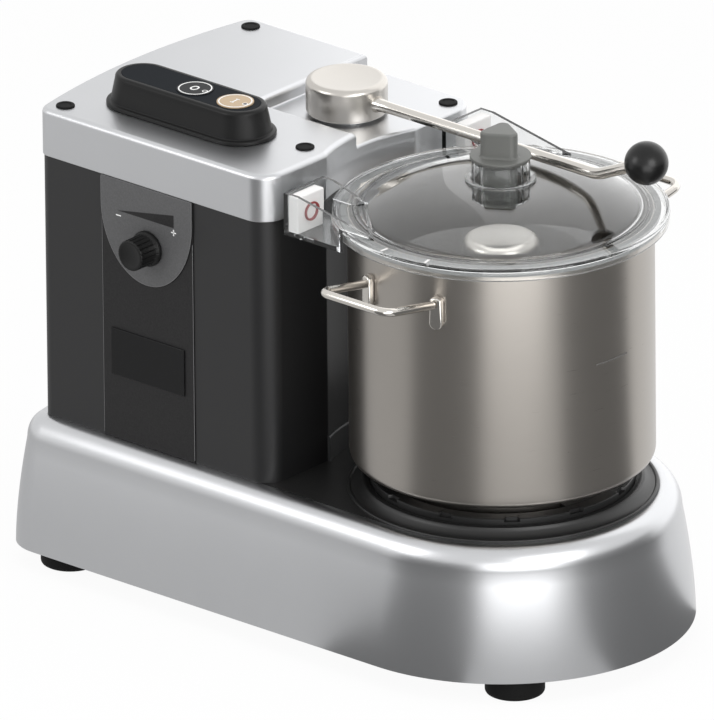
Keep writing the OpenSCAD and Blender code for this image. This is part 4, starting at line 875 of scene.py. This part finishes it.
def lid_profile():
    """Inner edge of the flange, down inside the skirt, round its lip, up outside, over
    the rounded shoulder, a small step and the dome, then back under the dome."""
    return (
        [(DOME_R - DOME_T, FLANGE_Z)]
        + arc(LID_R - LID_T - LIP_ROLL, FLANGE_Z - LIP_ROLL, LIP_ROLL, 90, 0, 3)
        + arc(LID_R - LID_T / 2, SKIRT_Z + LID_T / 2, LID_T / 2, 180, 360, 8)
        + arc(LID_R - LID_ROLL, DOME_Z - LID_ROLL, LID_ROLL, 0, 90, 6) + [(DOME_R + STEP_IN, DOME_Z)]
        + arc(DOME_R + STEP_IN, DOME_Z + STEP_ROLL, STEP_ROLL, 270, 200, 4)
        + dome_line(0, DOME_R - DOME_START, CHIMNEY_R + 0.2)
        + dome_line(DOME_T, CHIMNEY_R + 0.2, DOME_R - 4))


put("clear_lid", [looped(turned(lid_profile(), sides=256))], clear_plastic, "lid", "lid_shell", 40)

# %% [markdown]
# Chimney. Twelve flats outside, a round bore inside, and a rounded ring where it meets
# the dome. Each corner of the twelve is a small arc, so that it catches a highlight.

# %% Chimney
FLATS, FLAT_ROLL, RIM_ROLL = 12, 1.2, 0.5


def soft_polygon(reach, roll, count, points):
    """A polygon whose corners are arcs of radius roll, reach from the middle, each with
    as many points as given."""
    turn = 360 / count
    return np.array([spot for k in range(count) for spot in arc(
        *reach * towards(turn * k), roll, turn * (k - 0.5), turn * (k + 0.5), points - 1)])


chimney_z, chimney_top = heights("lid_chimney")
outer = soft_polygon(CHIMNEY_R - FLAT_ROLL / math.cos(math.pi / FLATS), FLAT_ROLL, FLATS, 4)
bore = CHIMNEY_IN * outer / np.linalg.norm(outer, axis=1)[:, None]
rim = [(bore, RIM_ROLL), (bore * 1.02, 0), (outer - outward(outer) * RIM_ROLL, 0), (outer, RIM_ROLL)]
chimney_grid = np.stack([at_height(plan, chimney_z + lift) for plan, lift in rim]
                        + [at_height(plan, chimney_top - lift) for plan, lift in reversed(rim)])
foot_ring = [(CHIMNEY_R - 0.6, DOME_TOP - 0.4), (CHIMNEY_R - 0.6, DOME_TOP + 1.6)] \
    + arc(CHIMNEY_RING_R - 1.4, DOME_TOP + 0.6, 1.4, 90, -80, 8)
put("chimney", [looped(chimney_grid), looped(turned(foot_ring))], clear_plastic, "lid", "lid_chimney", 25)

# %% [markdown]
# The feet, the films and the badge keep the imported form. A copy of the node's mesh is
# merged into one surface, its flat regions become single faces, and every sharp edge
# gets a fine round. That round is what makes an edge glint.


# %% Softened copies of nodes
ROUND_FACES, SOFT_FLAT, SOFT_SHARP, SOFT_ROUND = 2, 0.3, 35, 28


def fine_round(piece, roll_mm, angle):
    """Rounds the edges over an angle in degrees, with ROUND_FACES across each round."""
    bevel = piece.modifiers.new("round", "BEVEL")
    bevel.width, bevel.segments, bevel.limit_method = roll_mm * MM, ROUND_FACES, "ANGLE"
    bevel.angle_limit = math.radians(angle)
    even_shading(piece)


for name, node, material, roll_mm in (
    ("name_badge", "name_plate", name_film, 0.3),
    ("side_strip", "control_strip", strip_film, 0.25),
    ("dial_plate", "dial_panel", dial_film, 0.3),
    ("rubber_foot_a", "foot_front_near", foot_rubber, 1.2),
    ("rubber_foot_b", "foot_front_far", foot_rubber, 1.2),
    ("rubber_foot_c", "foot_rear_near", foot_rubber, 1.2),
    ("rubber_foot_d", "foot_rear_far", foot_rubber, 1.2),
):
    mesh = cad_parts[node].data.copy()
    edit(mesh, merge, flatten(SOFT_FLAT))
    fine_round(dress(mesh, name, material, "machine", node, SOFT_SHARP), roll_mm, SOFT_ROUND)

# %% [markdown]
# Ears. Each is an open-topped clear box beside the lid, whose top edges slope down until
# they meet the flange. A white case with a magnet stands in its rear corner, and tells
# the machine that the lid is shut. An outline with its own height at each corner gives
# the box, and a smaller one and the lid's own form are cut from it.

# %% Ears
EAR_WALL, EAR_ROLL, EAR_FIT = 2.5, 0.6, 0.05
ear_low, ear_high = corners("ear_near")
EAR_BACK, EAR_FLOOR, EAR_TOP = ear_low[0], ear_low[2], ear_high[2]
EAR_OUT, EAR_INNER, EAR_TIP, EAR_NOSE, EAR_CREST = 29 - BASE_R, -61, -25, -66, EAR_BACK + 12


def fill_gaps(work):
    """Puts a face in each hole: a cut through a sloping face can lose a sliver."""
    edges = [edge for edge in work.edges if edge.is_boundary]
    bmesh.ops.holes_fill(work, edges=edges, sides=0)
    print(len(edges), "open edges closed")


def ear_plan(t, tip, nose):
    """Corners of the box, moved in by t, with the tip and the nose pulled back."""
    return [(EAR_BACK + t, EAR_OUT + t), (EAR_CREST, EAR_OUT + t), (EAR_TIP - tip, EAR_OUT + t),
            (EAR_NOSE - nose, EAR_INNER - t), (EAR_CREST - 2, EAR_INNER - t), (EAR_BACK + t, EAR_INNER - t)]


ear_tops = [EAR_TOP, EAR_TOP, DOME_Z + 0.6, DOME_Z + 4.4, EAR_TOP, EAR_TOP]
box = slab(ear_plan(0, 0, 0), EAR_FLOOR, ear_tops)
pit = slab(ear_plan(EAR_WALL, 2.4 * EAR_WALL, 0.4 * EAR_WALL), EAR_FLOOR + EAR_WALL, EAR_TOP + 20)
lid_form = [(0, EAR_FLOOR - 10), (LID_R + EAR_FIT, EAR_FLOOR - 10), (LID_R + EAR_FIT, DOME_Z + EAR_FIT),
            (DOME_R + STEP_IN, DOME_Z + EAR_FIT)]
lid_form += [(r, z + EAR_FIT) for r, z in reversed(dome_line(0, 0, DOME_R - DOME_START))]
for side, factors in (("near", [1, 1, 1]), ("far", FAR)):
    shapes = (box, pit, [poled(turned(lid_form, sides=256))])
    ear_mesh = boolean(f"ear {side}", *(stretched(shape, factors) for shape in shapes))
    edit(ear_mesh, merge, fill_gaps)
    fine_round(put(f"clear_ear_{side}", ear_mesh, clear_plastic, "lid", f"ear_{side}", 20), EAR_ROLL, 50)

# %% Magnet cases
CASE_W, CASE_L, CASE_ROLL, CASE_GAP = 9, 26, 1.2, 0.1
case_low = np.array([EAR_BACK, EAR_OUT, EAR_FLOOR]) + EAR_WALL + CASE_GAP
case_high = case_low + [CASE_W, CASE_L, EAR_TOP - EAR_FLOOR - EAR_WALL - 1.5]
(x0, y0), (x1, y1), top_z = case_low[:2] + CASE_ROLL, case_high[:2] - CASE_ROLL, case_high[2] - CASE_ROLL
case_plan = [spot for x, y, start in ((x1, y0, -90), (x1, y1, 0), (x0, y1, 90), (x0, y0, 180))
             for spot in arc(x, y, CASE_ROLL, start, start + 90, 4)]
case = [capped(carried(case_plan, [(0, case_low[2])] + arc(-CASE_ROLL, top_z, CASE_ROLL, 0, 90, 3)))]
put("magnet_cases", case + stretched(case, FAR), magnet_case, "lid", "ear_magnets")

RING_OUT, RING_IN_R, RING_T = 6.5, 5.2, 1.4
ring_section = [(RING_IN_R, 0), (RING_OUT - 0.4, 0), (RING_OUT, 0.4), (RING_OUT, RING_T), (RING_IN_R, RING_T)]
ring_spot = [case_high[0], *(case_low + case_high)[1:] / 2]
ring = [looped(turned(ring_section, sides=64)[..., [2, 0, 1]] + ring_spot)]
put("magnet_rings", ring + stretched(ring, FAR), ring_red, "lid")

# %% [markdown]
# Two short pale ribs cross the flange on the near side, where the seal is keyed.

# %% Ribs on the flange
RIB_W, RIB_H, RIB_L, RIB_IN, RIB_ROOT, RIB_TURNS = 1.6, 0.35, 6, 1.6, 0.1, (-94.6, -75.9)
for k, turn_deg in enumerate(RIB_TURNS):
    out, across = towards(turn_deg), towards(turn_deg + 90)
    plan = [out * (LID_R - RIB_IN - u) + across * v
            for u, v in ((0, -RIB_W / 2), (0, RIB_W / 2), (RIB_L, RIB_W / 2), (RIB_L, -RIB_W / 2))]
    put(f"flange_rib_{k}", slab(plan, DOME_Z - RIB_ROOT, DOME_Z + RIB_H), magnet_case, "lid")

# %% [markdown]
# Feed plug. One grey moulding: a three-sided grip with soft corners on a round disc,
# with a stem in the chimney. The grip's outline is three arcs joined by straight sides.

# %% Feed plug
PLUG_R, PLUG_T, PLUG_ROLL, STEM_R, COLLAR_L = 20.9, 2.3, 0.6, 17.2, 3
GRIP_OUT, GRIP_CORNER, GRIP_ROLL = 9, 5, 1.6
top = heights("feed_plug")[1]
disc_z, disc_top = chimney_top, chimney_top + PLUG_T
three_sides = soft_polygon(GRIP_OUT, GRIP_CORNER, 3, 13)
grip_profile = (
    [(1.6, disc_top - 0.2), (0.9, disc_top + 0.25), (0.3, disc_top + 0.9), (0, disc_top + 1.8),
     (0, top - GRIP_ROLL)] + arc(-GRIP_ROLL, top - GRIP_ROLL, GRIP_ROLL, 20, 80, 3) + [(-1.9, top)])
disc = ([(0, disc_z - COLLAR_L), (STEM_R - 1, disc_z - COLLAR_L), (STEM_R, disc_z - COLLAR_L + 1),
         (STEM_R, disc_z), (PLUG_R - 0.4, disc_z)]
        + arc(PLUG_R - PLUG_ROLL, disc_z + PLUG_ROLL, PLUG_ROLL, -60, 0, 2)
        + arc(PLUG_R - PLUG_ROLL, disc_top - PLUG_ROLL, PLUG_ROLL, 0, 90, 4) + [(0, disc_top)])
lobe_z = chimney_z - 5
lobes = [(-2.6, lobe_z), (-1.2, lobe_z + 0.4), (-0.8, lobe_z + 1.2), (-0.8, disc_z + 0.5)]
put("feed_cap", [capped(carried(three_sides, grip_profile)), capped(carried(three_sides, lobes)),
                 poled(turned(disc, sides=128))], plug_plastic, "plug", "feed_plug", 40)

# %% [markdown]
# Lever. A turned hub cap on the pivot, a polished rod that runs over the lid, kinks
# upwards in one smooth bend, and ends in a black ball. The rod thickens a little where
# it is welded into the hub.

# %% Lever
(hub_x, hub_y, _), (hub_z, hub_top) = middle("lever_hub"), heights("lever_hub")
HUB_R, HUB_EDGE, LEVER_R, LEVER_Z, INTO_HUB, WELD_R, WELD_FADE = 28, 4, 4, 11, 6, 2.2, 2.5
KNEE_IN, KNEE_DEG, KNEE_BEND, BALL_R, TIP_L, INTO_BALL = 50, 24, 26, 15, 47.5, 9
hub_profile = ([(0, hub_z), (HUB_R - 1.0, hub_z), (HUB_R - 1.0, hub_z + 0.8), (HUB_R - 0.3, hub_z + 1.0),
                (HUB_R, hub_z + 1.5)] + arc(HUB_R - HUB_EDGE, hub_top - HUB_EDGE, HUB_EDGE, 0, 84, 10)
               + [(HUB_R - HUB_EDGE - 0.8, hub_top - 0.15), (0, hub_top - 0.15)])
put("hub_cap", [poled(turned(hub_profile, (hub_x, hub_y), 192))], hub_steel, "lever", "lever_hub", 30)

knee = np.array([BOWL_R - KNEE_IN, hub_y, hub_z + LEVER_Z])
rise = np.insert(towards(KNEE_DEG), 1, 0)


def lever_path():
    """Straight from the hub, an arc of radius KNEE_BEND that touches both straights, and
    straight on into the ball."""
    first = knee - [KNEE_BEND * math.tan(math.radians(KNEE_DEG / 2)), 0, 0]
    t = np.radians(np.linspace(0, KNEE_DEG, 13))
    bend = first + KNEE_BEND * np.stack([np.sin(t), 0 * t, 1 - np.cos(t)], -1)
    before = np.linspace([hub_x + HUB_R - INTO_HUB, hub_y, knee[2]], first, 40)[:-1]
    return np.concatenate([before, bend, np.linspace(bend[-1], knee + rise * (TIP_L - INTO_BALL), 12)[1:]])


path = lever_path()
from_hub = path[:, 0] - (hub_x + HUB_R)
thick = LEVER_R + WELD_R * np.exp(-np.clip(from_hub, 0, None) / WELD_FADE)
put("lever_rod", [capped(tube(path, thick, 32, (0, 1, 0.02)))], rod_steel, "lever", "lever_arm", 40)


def ball_grid():
    """A sphere turned about the rod, with a small flat and a bead where the rod enters."""
    ball = [(x, z) for z, x in arc(0, 0, BALL_R, 0, 160, 39)]
    grid = turned(ball + [(5.2, -14.4), (4.6, -14.6), (4.1, -14.2), (4.1, -12)], sides=96)
    return grid @ np.array([(rise[2], 0, -rise[0]), (0, 1, 0), rise]) + knee + rise * TIP_L


put("ball_grip", [capped(ball_grid())], ball_plastic, "lever", "lever_ball", 45)

# %% [markdown]
# Button pod. A moulded shell with a thin flange, leaning sides and a soft top edge round
# an inset film. Its section is carried round a stadium, which is two half circles and
# two straight sides.

# %% Button pod
pod_low, pod_high = corners("button_pod")
POD_R, POD_TOP_R, POD_FLANGE, INLAY_R = (pod_high[1] - pod_low[1]) / 2, 19, 3, 14.6
pod_half, pod_h = (pod_high[0] - pod_low[0]) / 2 - POD_R, pod_high[2] - pod_low[2]
stadium = np.array(arc(pod_half, 0, POD_R, -90, 90, 24) + arc(-pod_half, 0, POD_R, 90, 270, 24))
top_in, inlay_in = POD_TOP_R - POD_R, INLAY_R - POD_R
side_in = top_in / 2
pod_profile = np.array(
    [(inlay_in, 0), (-0.6, 0), (0, 0.6), (0, POD_FLANGE - 1.2)]
    + arc(-1.4, POD_FLANGE - 1.2, (1.4, 1.2), 20, 75, 3)
    + [(side_in + 0.5, POD_FLANGE + 0.1), (side_in - 0.1, POD_FLANGE + 0.8)]
    + [(side_in + (top_in - side_in) * t, 3.8 + (pod_h - 7.0) * t) for t in np.linspace(0.05, 1, 6)]
    + arc(top_in - 2.6, pod_h - 2.8, (2.6, 2.8), 10, 90, 6)
    + [(inlay_in + 0.35, pod_h), (inlay_in, pod_h - 0.35)]) + [0, pod_low[2]]
put("pod_shell", [looped(carried(stadium + middle("button_pod")[:2], pod_profile))], pod_plastic, "machine",
    "button_pod", 35)

# %% [markdown]
# Buttons. Each is a printed film cap with a white ring near its edge, a small window for
# a light and the plain sign for stop or start, a ring or a bar. The signs are thin
# inlays that stand a hair proud, so that they never flicker against the cap.

# %% Buttons
INK_T = 0.12
BUTTON_R, RING_IN, RING_W, WINDOW_OUT, WINDOW_R = 12.7, 1.0, 0.9, 8.8, 1.3
STOP_SIGN, START_SIGN = (3.0, 1.1, 1.25), ((1.1, 6.4, 0), (3.0, 0.9, -3.2), (3.0, 0.9, 3.2))


def about(x, y, length, width):
    """A rectangle about a point."""
    return rectangle(x - length / 2, y - width / 2, x + length / 2, y + width / 2)


def washer(radius, width, z, spot=(0, 0), sides=64):
    """A flat ring turned from a rectangle, half of it over the height z."""
    return looped(turned(rectangle(radius - width, z - INK_T, radius, z + INK_T), spot, sides))


for node, body in (("button_off", "stop_button"), ("button_on", "start_button")):
    x, y, _ = middle(node)
    z = heights(node)[1]
    window = (x + WINDOW_OUT, y)
    signs = [washer(BUTTON_R - RING_IN, RING_W, z, (x, y), 96), washer(WINDOW_R + 0.7, 0.6, z, window, 32)]
    if body == "stop_button":
        radius, width, longer = STOP_SIGN
        sign = washer(radius, width, z, sides=48)[0]
        signs.append(looped(sign * [1, longer, 1] + [x - 0.4, y, 0]))
    else:
        for length, width, off in START_SIGN:
            signs += slab(about(x - 0.4, y + off, length, width), z - INK_T, z + INK_T)
    put(f"{node}_signs", signs, white_ink, body, None, 30)
    put(f"{node}_window", [poled(turned(rectangle(0, z - INK_T, WINDOW_R, z + INK_T), window, 32))],
        name_film, body)

# %% [markdown]
# Speed knob. A fluted cap on a short skirt, moulded in black. The flutes are a second
# profile, pulled in by their depth, that takes over at twenty angles.

# %% Speed knob
KNOB_R, KNOB_L, KNOB_SKIRT_R, KNOB_SKIRT_H, FLUTES, FLUTE_D, KNOB_BASE = 11, 19, 12.6, 4, 20, 0.7, 2.1
near_face = cap_low[1] + CAP_STEP


def knob_profile(depth):
    """Length out from the tower's face against radius: stem, skirt, its slope, the
    fluted side, a soft edge and a face that is dished by half a millimetre."""
    return np.array(
        [(0, -6), (3, -6), (3, 0), (KNOB_SKIRT_R - 0.4, 0)] + arc(KNOB_SKIRT_R - 0.8, 0.8, 0.8, -45, 0, 2)
        + [(KNOB_SKIRT_R, KNOB_SKIRT_H - 1.6), (KNOB_SKIRT_R - 0.6, KNOB_SKIRT_H - 0.6),
           (KNOB_R + 0.3 - depth, KNOB_SKIRT_H), (KNOB_R - depth, KNOB_SKIRT_H + 0.4),
           (KNOB_R - depth - 0.1, KNOB_L - 1.2)]
        + arc(KNOB_R - 1.3, KNOB_L - 1.2, (1.2 - depth * 0.6, 1.2), 10, 90, 5)
        + [(KNOB_R - 2.6, KNOB_L - 0.1), (KNOB_R - 3.4, KNOB_L - 0.5), (0, KNOB_L - 0.5)]) + [0, KNOB_BASE]


def in_flute(a):
    """A narrow groove once per flute, where the cosine of the flutes' angle is near 1."""
    return np.clip((np.cos(a * FLUTES) - 0.55) / 0.45, 0, 1) ** 0.7


knob_x, _, knob_z = middle("speed_knob")
knob_grid = turned(knob_profile(0), sides=360, cut=(knob_profile(FLUTE_D), in_flute))
knob_grid = knob_grid[..., [0, 2, 1]] * FAR + [knob_x, near_face, knob_z]
put("fluted_knob", [poled(knob_grid)], pod_plastic, "knob", "speed_knob", 40)

# %% [markdown]
# Covers. Black moulded discs with a dished face stand over the heads of the tie rods,
# three on the cap's top and one in its recess.

# %% Covers over the tie rods
STUD_R, STUD_IN = 6.5, 13.5
rear_x, far_stud = cap_low[0] + 24.5, cap_high[1] - STUD_IN
cover = [(0, -2), (5, -2), (5, 0), (STUD_R, 0), (STUD_R, 0.5)] + arc(STUD_R - 0.7, 0.5, 0.7, 0, 90, 4) \
    + [(STUD_R - 2.2, 1.2), (STUD_R - 2.6, 0.8), (0, 0.8)]
put("tie_covers", [poled(turned(cover, (x, y), 64) + [0, 0, z]) for x, y, z in (
    (rear_x, -far_stud, CAP_TOP), (rear_x, far_stud, CAP_TOP), (-FRONT_X - 18.5, -47, CAP_TOP),
    (-FRONT_X - 14, far_stud, RECESS_Z))], foot_rubber, "machine", "cap_plugs", 35)

# %% [markdown]
# Print on the dial. A dark wedge grows towards fast, and a pale minus and plus stand
# under its ends. Each is a thin slab, as a layer of screen ink is.

# %% Print on the dial
marks_low, marks_high = corners("dial_marks")
WEDGE_L, WEDGE_H, SIGN_DROP, SIGN_L, SIGN_W = 50, 9, 3.5, 4.4, 0.8
WEDGE_T, SIGN_T, INK_ROOT = 0.2, 0.18, 0.2


def ink(outline, height):
    """A flat outline (x, z) that stands out of the tower's near face by height."""
    (grid, *closing), = slab(outline, -INK_ROOT, height)
    return (grid[..., [0, 2, 1]] * FAR + [0, marks_high[1], 0], *closing)


middle_x, wedge_z = (marks_low[0] + marks_high[0]) / 2, marks_high[2] - WEDGE_H
slow_x, fast_x, sign_z = middle_x - WEDGE_L / 2, middle_x + WEDGE_L / 2, wedge_z - SIGN_DROP
put("dial_wedge", [ink([(slow_x, wedge_z), (fast_x, wedge_z), (fast_x, wedge_z + WEDGE_H)], WEDGE_T)],
    strip_film, "machine", "dial_marks")
put("dial_signs", [ink(about(x, sign_z, length, width), SIGN_T) for x, length, width in (
    (slow_x, SIGN_L, SIGN_W), (fast_x, SIGN_L, SIGN_W), (fast_x, SIGN_W, SIGN_L))], white_ink, "machine")

# %% [markdown]
# A fine pale line frames the dial plate and the strip, where the film was cut and its
# edge shows. It is a round thread that follows the plate's outline: straight sides and
# half an ellipse.

# %% Film edges
panel_low, panel_high = corners("dial_panel")
strip_low, strip_high = corners("control_strip")
DIAL_STRAIGHT, THREAD_R, THREAD_IN, THREAD_OUT, FROM_TOP = 18, 0.22, 0.1, 0.12, 1
FROM_FOOT, OVER_DIAL_FOOT = 2, 40
half_w, mid_x = (panel_high[0] - panel_low[0]) / 2 - THREAD_IN, (panel_high[0] + panel_low[0]) / 2
top_z, bend_z = panel_high[2] - FROM_TOP, panel_high[2] - DIAL_STRAIGHT
drop = bend_z - panel_low[2] - THREAD_IN
straight = np.linspace(top_z, bend_z, 6)[:-1]
outlines = {"dial_edge": (panel_low[1], [(mid_x - half_w, z) for z in straight]
                          + arc(mid_x, bend_z, (half_w, drop), 180, 360, 60)
                          + [(mid_x + half_w, z) for z in straight[::-1]])}
for k, x in enumerate((strip_low[0] + THREAD_IN, strip_high[0] - THREAD_IN)):
    uprights = np.linspace(strip_low[2] + FROM_FOOT, panel_low[2] + OVER_DIAL_FOOT, 12)
    outlines[f"strip_edge_{k}"] = strip_low[1], [(x, z) for z in uprights]
for name, (face_y, outline) in outlines.items():
    thread = np.array([(x, face_y + THREAD_OUT, z) for x, z in outline])
    put(name, [capped(tube(thread, THREAD_R, 8, (0, 1, 0.01)))], edge_film, "machine")

# %% [markdown]
# Blade hub. The head of the hub is a domed stainless cap that covers the bowl's tube.
# Seen through the lid it is the brightest thing inside the bowl.

# %% Blade hub
head_z, head_top = heights("blade_hub")
HEAD_R, SLEEVE_R, HEAD_H, HEAD_ROLL, HUB_BORE = 26, 23, 20, 7, 16.6
step_z = head_top - HEAD_H
head = ([(HUB_BORE, head_z), (SLEEVE_R - 0.5, head_z), (SLEEVE_R, head_z + 0.5), (SLEEVE_R, step_z - 26),
         (SLEEVE_R + 0.6, step_z - 24), (HEAD_R - 0.5, step_z - 20), (HEAD_R, step_z - 18)]
        + arc(HEAD_R - HEAD_ROLL, head_top - HEAD_ROLL, HEAD_ROLL, 0, 86, 10)
        + [(0, head_top), (0, head_top - 6), (HUB_BORE - 1, head_top - 6), (HUB_BORE, head_top - 7)])
put("hub_sleeve", [looped(turned(head, sides=128))], hub_steel, "spindle", "blade_hub", 35)
